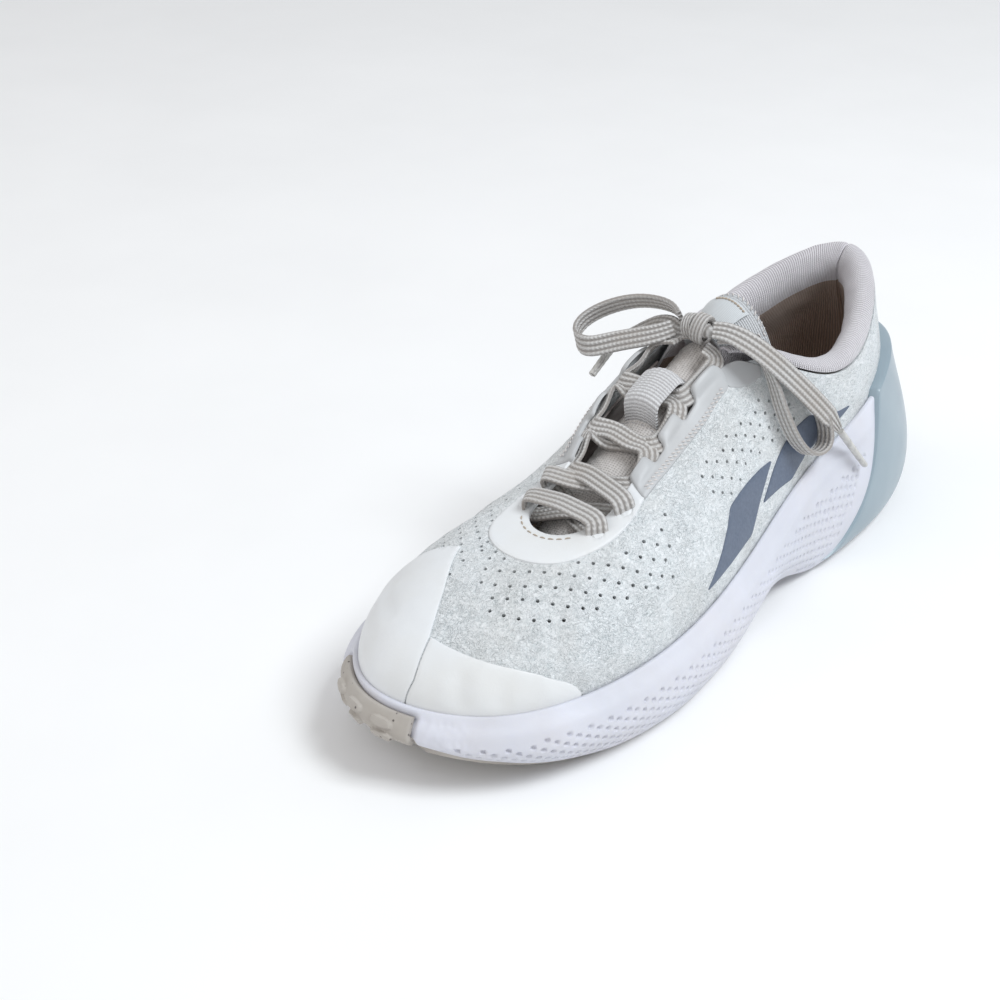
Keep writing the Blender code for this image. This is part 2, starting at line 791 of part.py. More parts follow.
def make_tongue():
    face = tongue_grid(TONGUE_ROWS, 0.0)
    under = tongue_grid(TONGUE_ROWS, TONGUE_THICK)
    tongue = paint(slab("tongue", face, under), MESH, 0.95)
    depth = np.array([0.5, 0.0, 0.0, 2.0])[:, None, None] * MM
    thick = np.array([6.5, 9.0, 10.0, 7.5])[:, None, None] * MM
    top_face = tongue_grid(TONGUE_TOP_ROWS, depth)
    top_under = tongue_grid(TONGUE_TOP_ROWS, thick)
    top_pad = paint(slab("tongue_top_pad", top_face, top_under), MESH, 0.95)
    label_rows = TONGUE_TOP_ROWS[:3]
    label_face = tongue_grid(label_rows, -1.1 * MM)[:, 2:7]
    label_under = tongue_grid(label_rows, -0.4 * MM)[:, 2:7]
    label = paint(slab("tongue_label", label_face, label_under), SMOOTH, 0.4)
    return [tongue, top_pad, label]


def tongue_height(x, y):
    """The height of the tongue's top face, in millimetres."""
    rows = np.array(TONGUE_ROWS)
    centre, z, half, drop = (np.interp(y, rows[:, 1], rows[:, k]) for k in (0, 2, 3, 4))
    return z - drop * ((x - centre) / half) ** 2


# The keeper's middle, half width, clear height and thickness, in millimetres
KEEPER_X = 2.5
KEEPER_Y = -3.0
KEEPER_HALF = 7.0
KEEPER_RISE = 9.8
KEEPER_THICK = 1.0


def make_keeper():
    """A webbing loop sewn across the tongue, arched over the lace."""
    half_arch = [(11.8, 0.06), (9.3, 0.07), (7.3, 0.8), (3, 1)]
    arch = [(-along, share) for along, share in half_arch] + half_arch[::-1]
    top, low = [], []
    for along, share in arch:
        y = KEEPER_Y + along
        for store, extra in ((top, KEEPER_THICK), (low, 0.0)):
            rise = KEEPER_RISE * share + extra
            line = []
            for u in np.linspace(-1, 1, 4):
                x = KEEPER_X + KEEPER_HALF * u
                line.append((x, y - 0.4 * rise, tongue_height(x, y) + 0.92 * rise))
            store.append(line)
    keeper = slab("lace_keeper", np.array(top) * MM, np.array(low) * MM)
    return paint(keeper, LACE, 0.9)


# ---------------------------------------------------------------- assembly


# Two parallel slanted bars: name, first station, width in stations, lowest and highest
# place on the profile, rows
SIDE_MARKS = [
    ("side_mark_front", 3.58, 0.85, 0.17, 0.42, 5),
    ("side_mark_rear", 4.72, 0.55, 0.25, 0.66, 8),
]
MARK_LEAN = 2.2                                # stations for the whole profile


def make_side_marks():
    """Two plain slanted bars on the outer side."""
    made = []
    for name, start, width, low, high, rows in SIDE_MARKS:
        columns = np.linspace(start, start + width, 7)
        height = np.linspace(low, high, rows)
        t = np.repeat(height[None, :], len(columns), axis=0)
        s = columns[:, None] + MARK_LEAN * (height - low)
        face = upper(s, t, np.full_like(t, GAP + 0.7 * MM))
        back = upper(s, t, np.full_like(t, GAP))
        made.append(paint(slab(name, face, back), SLATE, 0.6))
    return made


# ---------------------------------------------------------------- the lace


def smooth_path(points, spacing):
    """Points on a smooth curve through the given ones, which it keeps."""
    points = np.array(points, float)
    count = len(points)
    spread = 4.0 * np.eye(count) + np.eye(count, k=1) + np.eye(count, k=-1)
    spread[0, 0] = spread[-1, -1] = 2.0
    target = np.zeros_like(points)
    target[1:-1] = 3 * (points[2:] - points[:-2])
    target[0] = 3 * (points[1] - points[0])
    target[-1] = 3 * (points[-1] - points[-2])
    slopes = np.linalg.solve(spread, target)
    path = []
    for k in range(count - 1):
        pieces = max(1, round(np.linalg.norm(points[k + 1] - points[k]) / spacing))
        for f in np.arange(pieces) / pieces:
            path.append(
                points[k] * (1 + 2 * f) * (1 - f) ** 2
                + slopes[k] * f * (1 - f) ** 2
                + points[k + 1] * f * f * (3 - 2 * f)
                + slopes[k + 1] * f * f * (f - 1)
            )
    return np.array([*path, points[-1]])


def make_cord(name, points, spacing):
    """A lace as a round tube along a smooth path through the points, in metres."""
    curve = bpy.data.curves.new(name, "CURVE")
    curve.dimensions = "3D"
    curve.bevel_depth = LACE_RADIUS
    curve.bevel_resolution = 2
    curve.use_fill_caps = True
    route = smooth_path(points, spacing)
    spline = curve.splines.new("POLY")
    spline.points.add(len(route) - 1)
    for spot, place in zip(spline.points, route):
        spot.co = (*place, 1.0)
    cord = bpy.data.objects.new(name, curve)
    bpy.context.scene.collection.objects.link(cord)
    return paint(cord, LACE, 0.85)


def on_upper(side, s, t, lift):
    """A point off the upper: side is 1 on the lateral side and -1 on the medial."""
    return upper([s if side > 0 else STATIONS - s], [t], lift * MM)[0]


def across(start, end, rise):
    """Three points of a strand that crosses the tongue."""
    points = []
    for f in (0.25, 0.5, 0.75):
        point = start + (end - start) * f
        floor = (tongue_height(point[0] / MM, point[1] / MM) + 1.5) * MM
        point[2] = max(point[2] + rise * MM * math.sin(math.pi * f), floor)
        points.append(point)
    return points


def behind_tooth(side, number, upwards):
    """The lace slips down into a notch, passes under the tooth and comes up."""
    start, end = TEETH[number]
    stations = (start - 0.12, (start + end) / 2, end + 0.12)
    route = [
        on_upper(side, stations[0], 0.985, -0.6),
        on_upper(side, stations[1], 0.95, -1.6),
        on_upper(side, stations[2], 0.985, -0.6),
    ]
    return route if upwards else route[::-1]


def through_eyelet(side, number, downwards):
    s, t = VAMP_EYELETS[number]
    route = [
        on_upper(side, s, t + 0.03, 4.4),
        on_upper(side, s, t, 1.0),
        on_upper(side, s, t + 0.02, -4.0),
    ]
    return route if downwards else route[::-1]


KNOT = (2.0, 21.5, 102.5)
KNOT_SIZE = (7.5, 5.0, 4.0)


def threaded_route():
    """The lace from the knot down through the eyestays and back up to the knot."""
    half_a = [
        np.array([7.5, 17.0, 98.0]) * MM,
        *behind_tooth(1, 2, False),
        *behind_tooth(-1, 1, False),
        *behind_tooth(1, 0, False),
        *through_eyelet(-1, 1, True),
        *through_eyelet(1, 0, False),
    ]
    half_b = [
        *through_eyelet(-1, 0, True),
        *through_eyelet(1, 1, False),
        *behind_tooth(-1, 0, True),
        *behind_tooth(1, 1, True),
        *behind_tooth(-1, 2, True),
        np.array([-3.5, 17.0, 98.0]) * MM,
    ]
    joined = half_a + half_b
    rises = {3: -1.6, 6: 1.6, 9: -1.2, 12: -1.5, 15: 2.0, 18: 1.5, 21: 1.6, 24: -1.5, 27: 1.1}
    route = []
    for index, point in enumerate(joined[:-1]):
        route.append(point)
        if index in rises:
            route += across(point, joined[index + 1], rises[index])
    route.append(joined[-1])
    return route


# The free stretches of the lace, in millimetres
BOW_LEFT = [
    (-7, 22.5, 104), (-14, 26.8, 104.5), (-24, 26.6, 104), (-33, 23, 102), (-41, 18, 98),
    (-44.5, 11.5, 94), (-42, 6, 91), (-35, 4.3, 90.5), (-26, 8.5, 93.5), (-13.5, 13, 98.3),
    (-7.5, 18.5, 101),
]
BOW_RIGHT = [
    (10.5, 20.5, 101), (16.5, 25, 100), (24.5, 31, 91.5), (31, 31.5, 79.5), (36.5, 33.4, 66.5),
    (40, 38.5, 58), (41, 45.5, 54.5), (40.8, 52, 56.5), (39, 51, 67), (34.5, 44, 80),
    (28, 37, 91), (18.5, 30.5, 99.5), (10, 24.5, 103.5),
]
END_LEFT = [
    (-6.5, 21.5, 98.6), (-13, 24, 98.5), (-20, 24.9, 96.5), (-25.4, 23, 93), (-31.4, 17.4, 89.2),
]
END_RIGHT = [
    (10, 18.5, 105.3), (17, 20.5, 105), (27, 26.5, 98), (36, 37.5, 84), (41.5, 50, 69),
    (43, 57, 60.5),
]
FREE_LACE = (
    "lace_knot", "lace_bow_left", "lace_bow_right", "lace_end_left", "lace_end_right",
    "aglet_left", "aglet_right",
)
AGLET_LEFT = ((-31.5, 16.6, 88.8), (-31.2, 1.5, 80.8))
AGLET_RIGHT = ((43.2, 58, 59.3), (46.5, 75, 38))


def make_aglet(name, ends):
    start, end = (Vector(point) * MM for point in ends)
    shape = bmesh.new()
    bmesh.ops.create_cone(
        shape,
        cap_ends=True,
        segments=12,
        radius1=1.35 * MM,
        radius2=1.15 * MM,
        depth=(end - start).length,
    )
    mesh = bpy.data.meshes.new(name)
    shape.to_mesh(mesh)
    shape.free()
    mesh.shade_smooth()
    mesh.set_sharp_from_angle(angle=math.radians(35))
    aglet = bpy.data.objects.new(name, mesh)
    aglet.location = (start + end) / 2
    aglet.rotation_mode = "QUATERNION"
    aglet.rotation_quaternion = (end - start).to_track_quat("Z", "Y")
    bpy.context.scene.collection.objects.link(aglet)
    return paint(aglet, LACE, 0.3)


def make_knot():
    shape = bmesh.new()
    bmesh.ops.create_uvsphere(shape, u_segments=16, v_segments=8, radius=1.0)
    bmesh.ops.scale(shape, vec=Vector(KNOT_SIZE) * MM, verts=shape.verts)
    mesh = bpy.data.meshes.new("lace_knot")
    shape.to_mesh(mesh)
    shape.free()
    mesh.shade_smooth()
    knot = bpy.data.objects.new("lace_knot", mesh)
    knot.location = Vector(KNOT) * MM
    bpy.context.scene.collection.objects.link(knot)
    return paint(knot, LACE, 0.85)


def make_laces():
    make_cord("lace", threaded_route(), 7 * MM)
    make_knot()
    for name, points in (
        ("lace_bow_left", BOW_LEFT),
        ("lace_bow_right", BOW_RIGHT),
        ("lace_end_left", END_LEFT),
        ("lace_end_right", END_RIGHT),
    ):
        make_cord(name, np.array(points) * MM, 5 * MM)
    make_aglet("aglet_left", AGLET_LEFT)
    make_aglet("aglet_right", AGLET_RIGHT)


def hang_tongue():
    """Put the tongue and what is sewn to it under an empty on the hinge axis."""
    hinge = bpy.data.objects.new("tongue_hinge", None)
    bpy.context.scene.collection.objects.link(hinge)
    hinge.location = TONGUE_HINGE
    for name in ("tongue", "tongue_top_pad", "tongue_label", "lace_keeper"):
        piece = bpy.data.objects[name]
        piece.parent = hinge
        piece.location = -TONGUE_HINGE


def rest_on_origin():
    """Centre the shoe, without its free lace, over the origin."""
    bpy.context.view_layer.update()
    corners = []
    for thing in bpy.context.scene.objects:
        if thing.hide_render or thing.type == "EMPTY" or thing.name in FREE_LACE:
            continue
        corners += [thing.matrix_world @ Vector(corner) for corner in thing.bound_box]
    x = [corner.x for corner in corners]
    y = [corner.y for corner in corners]
    shift = Vector((-(min(x) + max(x)) / 2, -(min(y) + max(y)) / 2, 0))
    frame = bpy.data.objects.new("shoe_frame", None)
    bpy.context.scene.collection.objects.link(frame)
    frame.location = shift
    for thing in bpy.context.scene.objects:
        if thing is not frame and thing.parent is None:
            thing.parent = frame


def build():
    clear_scene()
    make_upper_shell()
    make_toe_pieces()
    make_vamp_patch()
    make_eyestays()
    make_heel_counter()
    make_vamp_lining()
    make_collar()
    make_insoles()
    midsole = make_midsole()
    make_sole_pieces(midsole)
    make_tongue()
    make_keeper()
    make_side_marks()
    make_laces()
    hang_tongue()
    rest_on_origin()


build()
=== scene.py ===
"""The looks of the left court shoe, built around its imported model.

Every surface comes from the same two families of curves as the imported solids: the
upper, (station, height) with height 0 at the sole and 1 at the top line, and the side
wall of the sole. Stations run round the shoe from 0 at the toe, over 4 on the outer
side, 8 at the heel and 12 on the inner side, back to 16. Lengths are in metres.
"""

import itertools
import math

import bmesh
import bpy
import numpy as np
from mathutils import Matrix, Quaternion, Vector, kdtree
from mathutils.geometry import delaunay_2d_cdt


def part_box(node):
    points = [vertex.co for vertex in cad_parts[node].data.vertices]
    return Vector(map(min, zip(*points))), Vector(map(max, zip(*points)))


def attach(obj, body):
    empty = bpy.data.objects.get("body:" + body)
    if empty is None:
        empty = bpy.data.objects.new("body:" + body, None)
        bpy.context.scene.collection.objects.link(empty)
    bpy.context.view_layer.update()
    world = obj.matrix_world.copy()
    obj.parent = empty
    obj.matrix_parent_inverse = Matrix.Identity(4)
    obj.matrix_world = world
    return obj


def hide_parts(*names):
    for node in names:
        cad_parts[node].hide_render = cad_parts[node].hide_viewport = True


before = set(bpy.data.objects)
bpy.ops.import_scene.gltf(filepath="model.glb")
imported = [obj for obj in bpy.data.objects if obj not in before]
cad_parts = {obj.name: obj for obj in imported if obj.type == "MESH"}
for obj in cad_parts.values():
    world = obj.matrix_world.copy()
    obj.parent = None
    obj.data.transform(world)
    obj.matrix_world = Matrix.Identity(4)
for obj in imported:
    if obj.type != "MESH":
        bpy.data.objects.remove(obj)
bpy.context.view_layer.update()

MM = 0.001

# Driving dimensions
FOAM_RISE = 2.8 * MM
LIP = 3.0 * MM
TOE_SPRING = 14.0 * MM
ARCH_RISE = 7.0 * MM
UPPER_THICK = 1.6 * MM
OVERLAY_THICK = 0.7 * MM
TONGUE_THICK = 5.0 * MM
LACE_WIDTH = 8.0 * MM
LACE_THICK = 1.6 * MM
PERFORATION = 1.4 * MM
PERFORATION_PITCH = 5.0 * MM
DIMPLE = 1.8 * MM
DIMPLE_PITCH = 3.4 * MM

# The upper at each station, in millimetres: foot x y z, top x y z, then how the
# profile leaves the foot (out, up) and reaches the top (out, down).
UPPER_STATIONS = [
    (-7, -139, 26, 4, -68, 61, 2, 17, 38, 3),
    (20, -130, 25, 12, -64, 62, 3, 17, 34, 4),
    (40, -104, 25, 17, -53, 66, 4, 17, 27, 6),
    (49, -62, 26, 16, -36, 74, 4, 18, 24, 9),
    (46, -18, 28, 12, -8, 85, 3, 21, 18, 14),
    (39, 24, 29, 15, 25, 95, 2, 24, 13, 20),
    (34.5, 68, 29, 34, 66, 77, 3, 22, 5, 16),
    (27.5, 116, 29, 25, 110, 86.5, 4, 24, 3, 18),
    (0, 137, 30, 0, 134, 95, 7, 28, 4, 20),
    (-27.5, 116, 29, -25, 110, 86.5, 4, 24, 3, 18),
    (-31.5, 68, 29, -32, 64, 78, 3, 22, 5, 16),
    (-27, 24, 30, -15, 24, 94, 2, 24, 11, 20),
    (-30, -20, 28, -15, -8, 84, 3, 21, 11, 14),
    (-39, -64, 26, -7, -37, 73, 3, 18, 17, 9),
    (-40, -102, 25, -5, -55, 65, 3, 17, 24, 6),
    (-29, -127, 25, -3, -65, 62, 3, 17, 32, 4),
]

# The sole's wall at each station, in millimetres: foot x y, how the profile leaves
# the foot (out, up) and reaches the lip (out, down), the lip's height, and the share
# of the wall that the foam fills under the heel clip.
SOLE_STATIONS = [
    (-6, -143, 5, 4, 6, 6, 27, 1.0),
    (23, -133, 6, 6, 7, 8, 26, 1.0),
    (44, -105, 7, 8, 8, 8, 26, 1.0),
    (54, -62, 5, 10, 8, 9, 27, 1.0),
    (50, -18, 4, 10, 7, 10, 30, 1.0),
    (43, 24, 5, 10, 5, 12, 37, 1.0),
    (44, 66, 6, 12, 4, 14, 50, 1.0),
    (35.5, 121, 10, 16, 3, 18, 64, 0.84),
    (0, 146, 13, 16, 2, 18, 66, 0.70),
    (-35.5, 121, 10, 16, 3, 18, 64, 0.84),
    (-41, 66, 6, 12, 4, 14, 50, 1.0),
    (-31, 24, 5, 10, 5, 12, 38, 1.0),
    (-35, -20, 4, 10, 7, 10, 31, 1.0),
    (-44, -66, 5, 10, 8, 9, 27, 1.0),
    (-44, -104, 5, 8, 7, 8, 26, 1.0),
    (-30, -127, 5, 6, 6, 8, 26, 1.0),
]

STATIONS = len(UPPER_STATIONS)
HEEL = STATIONS / 2
UP = np.array([0.0, 0.0, 1.0])
KNOT = np.array([2.0, 21.5, 102.5]) * MM

knot_low, knot_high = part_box("lace_knot")
SHIFT = np.array((knot_low + knot_high) / 2) - KNOT


# ---------------------------------------------------------------- curves and surfaces


class ClosedOutline:
    """A smooth closed curve through rows of numbers, one row for each station."""

    def __init__(self, rows):
        self.rows = np.array(rows, float)
        count = len(rows)
        spread = 4.0 * np.eye(count)
        spread += np.roll(np.eye(count), 1, axis=1) + np.roll(np.eye(count), -1, axis=1)
        ahead = np.roll(self.rows, -1, axis=0)
        behind = np.roll(self.rows, 1, axis=0)
        self.slopes = np.linalg.solve(spread, 3.0 * (ahead - behind))

    def at(self, s):
        s = np.asarray(s, float) % STATIONS
        first = np.floor(s).astype(int) % STATIONS
        second = (first + 1) % STATIONS
        f = (s - np.floor(s))[..., None]
        return (
            self.rows[first] * (1 + 2 * f) * (1 - f) ** 2
            + self.slopes[first] * f * (1 - f) ** 2
            + self.rows[second] * f * f * (3 - 2 * f)
            + self.slopes[second] * f * f * (f - 1)
        )


UPPER = ClosedOutline(UPPER_STATIONS)
SOLE = ClosedOutline(SOLE_STATIONS)


def bezier(p0, p1, p2, p3, t):
    t = np.asarray(t, float)[..., None]
    rest = 1 - t
    return rest**3 * p0 + 3 * rest**2 * t * p1 + 3 * rest * t * t * p2 + t**3 * p3


def outward(s):
    """The horizontal direction away from the shoe at each station."""
    step = 0.02
    along = (UPPER.at(np.asarray(s) + step) - UPPER.at(np.asarray(s) - step))[..., :2]
    across = np.stack([along[..., 1], -along[..., 0]], axis=-1)
    across /= np.linalg.norm(across, axis=-1, keepdims=True)
    return np.concatenate([across, np.zeros(across.shape[:-1] + (1,))], axis=-1)


def upper_base(s, t):
    row = UPPER.at(s) * MM
    side = outward(s)
    foot = row[..., 0:3]
    top = row[..., 3:6]
    first = foot + side * row[..., 6:7] + UP * row[..., 7:8]
    second = top + side * row[..., 8:9] - UP * row[..., 9:10]
    return bezier(foot, first, second, top, t)


def normal_of(surface, s, t, step=0.01):
    """The outward unit normal. Past a surface's edge it is the normal at that edge."""
    t = np.clip(t, step, 1 - step)
    along = surface(s + step, t) - surface(s - step, t)
    rise = surface(s, t + step) - surface(s, t - step)
    normal = np.cross(along, rise)
    return normal / np.linalg.norm(normal, axis=-1, keepdims=True)


def upper(s, t, lift=0.0):
    s, t = np.broadcast_arrays(np.asarray(s, float), np.asarray(t, float))
    return upper_base(s, t) + normal_of(upper_base, s, t) * np.asarray(lift)[..., None]


def ground(y):
    """The height of the tread: toe spring, flat ball, arch and heel bevel."""
    y = np.asarray(y, float) / MM
    toe = TOE_SPRING * np.clip((-72 - y) / 72, 0, 2) ** 2
    arch = ARCH_RISE * np.sin(np.pi * np.clip((y + 12) / 62, 0, 1)) ** 2
    heel = 5 * MM * np.clip((y - 118) / 30, 0, 2) ** 2
    return toe + arch + heel


def lip_heights():
    """The height on the upper that the sole's lip reaches, at many stations."""
    stations = np.linspace(0, STATIONS, 321)
    profile = np.linspace(0, 1, 81)
    found = []
    for s in stations:
        z = upper_base(np.full_like(profile, s), profile)[:, 2]
        found.append(np.interp(SOLE.at(s)[6] * MM, z, profile))
    return stations, np.array(found)


LIP_TABLE = lip_heights()


def lip_t(s):
    return np.interp(np.asarray(s, float) % STATIONS, *LIP_TABLE)


def wall_base(s, t):
    """A point on the sole's side wall: t is 0 at its lower edge, 1 at the lip."""
    s = np.asarray(s, float)
    row = SOLE.at(s)
    side = outward(s)
    x, y = row[..., 0] * MM, row[..., 1] * MM
    foot = np.stack([x, y, ground(y) + FOAM_RISE], axis=-1)
    top = upper(s, lip_t(s), 0.5 * LIP) + side * 0.5 * LIP
    first = foot + (side * row[..., 2:3] + UP * row[..., 3:4]) * MM
    second = top + (side * row[..., 4:5] - UP * row[..., 5:6]) * MM
    return bezier(foot, first, second, top, t)


def spline(rows, where):
    """Values at the places where (0 for the first row, 1 for the second, and so on)
    on the smooth curve through the rows."""
    rows = np.array(rows, float)
    count = len(rows)
    flat = rows.reshape(count, -1)
    spread = 4.0 * np.eye(count) + np.eye(count, k=1) + np.eye(count, k=-1)
    spread[0, 0] = spread[-1, -1] = 2.0
    target = np.zeros_like(flat)
    target[1:-1] = 3 * (flat[2:] - flat[:-2])
    target[0] = 3 * (flat[1] - flat[0])
    target[-1] = 3 * (flat[-1] - flat[-2])
    slopes = np.linalg.solve(spread, target)
    k = np.minimum(np.asarray(where).astype(int), count - 2)
    f = (where - k)[:, None]
    found = (
        flat[k] * (1 + 2 * f) * (1 - f) ** 2
        + slopes[k] * f * (1 - f) ** 2
        + flat[k + 1] * f * f * (3 - 2 * f)
        + slopes[k + 1] * f * f * (f - 1)
    )
    return found.reshape(len(k), *rows.shape[1:])


def smooth_path(points, spacing):
    """Points on a smooth curve through the given ones, and where each one lies."""
    points = np.array(points, float)
    where = []
    for k, length in enumerate(np.linalg.norm(np.diff(points, axis=0), axis=1)):
        pieces = max(1, round(length / spacing))
        where.extend(k + np.arange(pieces) / pieces)
    where = np.array([*where, len(points) - 1.0])
    return spline(points, where), where


def curve_through(*points, pieces=8):
    """A smooth open curve through points of the plane, with pieces steps in each."""
    where = np.linspace(0, len(points) - 1, pieces * (len(points) - 1) + 1)
    return [tuple(p) for p in spline(points, where)]


def value_noise(points, size, seed=0):
    """Smooth noise from -1 to 1, with features of the given size."""
    q = points / size + seed * 17.31
    cell = np.floor(q).astype(np.int64)
    f = q - cell
    f = f * f * (3 - 2 * f)
    total = np.zeros(points.shape[:-1])
    for corner in itertools.product((0, 1), repeat=3):
        c = cell + np.array(corner)
        mixed = c[..., 0] * 374761393 + c[..., 1] * 668265263 + c[..., 2] * 1274126177
        mixed = (mixed ^ (mixed >> 13)) * 1103515245
        value = ((mixed ^ (mixed >> 16)) & 0xFFFF) / 32767.5 - 1
        weight = np.prod(np.where(np.array(corner) == 1, f, 1 - f), axis=-1)
        total += value * weight
    return total


def smoothstep(low, high, value):
    x = np.clip((value - low) / (high - low), 0, 1)
    return x * x * (3 - 2 * x)


# ---------------------------------------------------------------- mesh builders


def add_mesh(name, points, faces, uv=None, angle=42, weld=False):
    """A mesh object from points in the shoe's own frame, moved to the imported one."""
    mesh = bpy.data.meshes.new(name)
    mesh.from_pydata((np.asarray(points) + SHIFT).tolist(), [], faces)
    piece = bpy.data.objects.new(name, mesh)
    bpy.context.scene.collection.objects.link(piece)
    if uv is not None:
        corner = np.zeros(len(mesh.loops), np.int32)
        mesh.loops.foreach_get("vertex_index", corner)
        layer = mesh.uv_layers.new(name="Metres")
        layer.data.foreach_set("uv", np.asarray(uv, np.float32)[corner].ravel())
    build = bmesh.new()
    build.from_mesh(mesh)
    if weld:
        bmesh.ops.remove_doubles(build, verts=build.verts, dist=0.02 * MM)
    bmesh.ops.recalc_face_normals(build, faces=build.faces)
    build.to_mesh(mesh)
    build.free()
    mesh.shade_smooth()
    mesh.set_sharp_from_angle(angle=math.radians(angle))
    return piece


def grid_faces(rows, across, ring=False, start=0):
    """Quads of a grid of points, as lists. A ring closes on itself along its rows."""
    i = np.arange(rows if ring else rows - 1)[:, None]
    k = np.arange(across - 1)[None, :]
    a = i * across + k
    b = ((i + 1) % rows) * across + k
    return (np.stack([a, b, b + 1, a + 1], axis=-1).reshape(-1, 4) + start).tolist()


def slab(name, outer, inner, uv=None):
    """A closed solid between two grids of points of the same shape."""
    rows, across = outer.shape[:2]
    under = rows * across
    faces = grid_faces(rows, across, False)
    faces += [face[::-1] for face in grid_faces(rows, across, False, under)]
    for i in range(rows - 1):
        for k in (0, across - 1):
            a, b = i * across + k, (i + 1) * across + k
            faces.append([a, b, under + b, under + a])
    for i in (0, rows - 1):
        for k in range(across - 1):
            a = i * across + k
            faces.append([a, a + 1, under + a + 1, under + a])
    points = np.concatenate([outer.reshape(-1, 3), inner.reshape(-1, 3)])
    if uv is not None:
        uv = np.concatenate([uv.reshape(-1, 2)] * 2)
    return add_mesh(name, points, faces, uv, angle=42)


def hole_ring(surface, s, t, radius, sides):
    """(s, t) of points on a true circle of that radius on the surface."""
    step = 0.004
    ds = (surface(np.array([s + step]), np.array([t])) - surface(np.array([s - step]), np.array([t])))[0]
    dt = (surface(np.array([s]), np.array([t + step])) - surface(np.array([s]), np.array([t - step])))[0]
    jacobian = np.stack([ds, dt], axis=1) / (2 * step)
    along = ds / np.linalg.norm(ds)
    normal = np.cross(ds, dt)
    across = np.cross(normal / np.linalg.norm(normal), along)
    turn = np.arange(sides) * 2 * math.pi / sides
    circle = radius * (np.cos(turn)[:, None] * along + np.sin(turn)[:, None] * across)
    return np.array([s, t]) + circle @ np.linalg.pinv(jacobian).T


def cut_sheet(surface, outline, holes, spacing, scale, edge=0.0):
    """Triangles that fill an outline of (s, t) points, leaving out round holes.

    Returns the (s, t) points, their distance from the edge where it is small, the
    hole that each point rims, and the triangles. Scale is about how many metres one
    step of s and of t is.
    """
    scale = np.array(scale)
    corners = np.array(outline, float) * scale
    rim = []
    for a, b in zip(corners, np.roll(corners, -1, axis=0)):
        count = max(1, round(np.linalg.norm(b - a) / spacing))
        rim += [a + (b - a) * k / count for k in range(count)]
    rim = np.array(rim)
    area = np.sum(rim[:, 0] * np.roll(rim[:, 1], -1) - rim[:, 1] * np.roll(rim[:, 0], -1))
    along = np.roll(rim, -1, axis=0) - np.roll(rim, 1, axis=0)
    inwards = np.stack([-along[:, 1], along[:, 0]], axis=1) * math.copysign(1, area)
    inwards /= np.linalg.norm(inwards, axis=1, keepdims=True)
    rings = [rim]
    reach = [np.zeros(len(rim))]
    owner = [np.full(len(rim), -1)]
    links = [(k, (k + 1) % len(rim)) for k in range(len(rim))]
    total = len(rim)
    for number, (s, t, radius, sides) in enumerate(holes):
        circle = hole_ring(surface, s, t, radius, sides) * scale
        links += [(total + k, total + (k + 1) % sides) for k in range(sides)]
        rings.append(circle)
        reach.append(np.zeros(sides))
        owner.append(np.full(sides, number))
        total += sides
    solid_points = np.concatenate(rings)
    near = kdtree.KDTree(total)
    for index, point in enumerate(solid_points):
        near.insert((*point, 0.0), index)
    near.balance()
    loose, loose_reach = [], []
    for share in (0.3, 1.0) if edge else ():
        for point in rim + inwards * edge * share:
            if near.find((*point, 0.0))[2] > 0.6 * edge * share:
                loose.append(point)
                loose_reach.append(edge * share)
    low, high = rim.min(axis=0), rim.max(axis=0)
    keep = max(0.55 * spacing, 1.5 * edge)
    for row in range(int((high[1] - low[1]) / (0.87 * spacing)) + 1):
        for column in range(int((high[0] - low[0]) / spacing) + 1):
            point = low + spacing * np.array([column + 0.5 * (row % 2), 0.87 * row])
            _, index, gap = near.find((*point, 0.0))
            if gap > (keep if index < len(rim) else 0.4 * spacing):
                loose.append(point)
                loose_reach.append(1.0)
    everything = np.concatenate([solid_points, np.array(loose).reshape(-1, 2)])
    reach = np.concatenate([*reach, loose_reach])
    owner = np.concatenate([*owner, np.full(len(loose), -1)])
    flat = [Vector(p) for p in everything / MM]
    made, _, faces, from_points, _, _ = delaunay_2d_cdt(flat, links, [], 1, 1e-5)
    first = np.array([p[0] if p else 0 for p in from_points])
    triangles = np.array(faces)
    owners = owner[first[triangles]]
    inside_hole = (owners[:, 0] >= 0) & (owners == owners[:, :1]).all(axis=1)
    triangles = triangles[~inside_hole]
    used, triangles = np.unique(triangles, return_inverse=True)
    triangles = triangles.reshape(-1, 3)
    flat = np.array([tuple(p) for p in made])[used] * MM
    return flat / scale, reach[first[used]], owner[first[used]], triangles


def open_edges(triangles):
    """The directed edges that belong to one triangle only."""
    edges = np.concatenate([triangles[:, [0, 1]], triangles[:, [1, 2]], triangles[:, [2, 0]]])
    size = triangles.max() + 1
    code = edges[:, 0] * size + edges[:, 1]
    back = edges[:, 1] * size + edges[:, 0]
    return edges[~np.isin(code, back)]


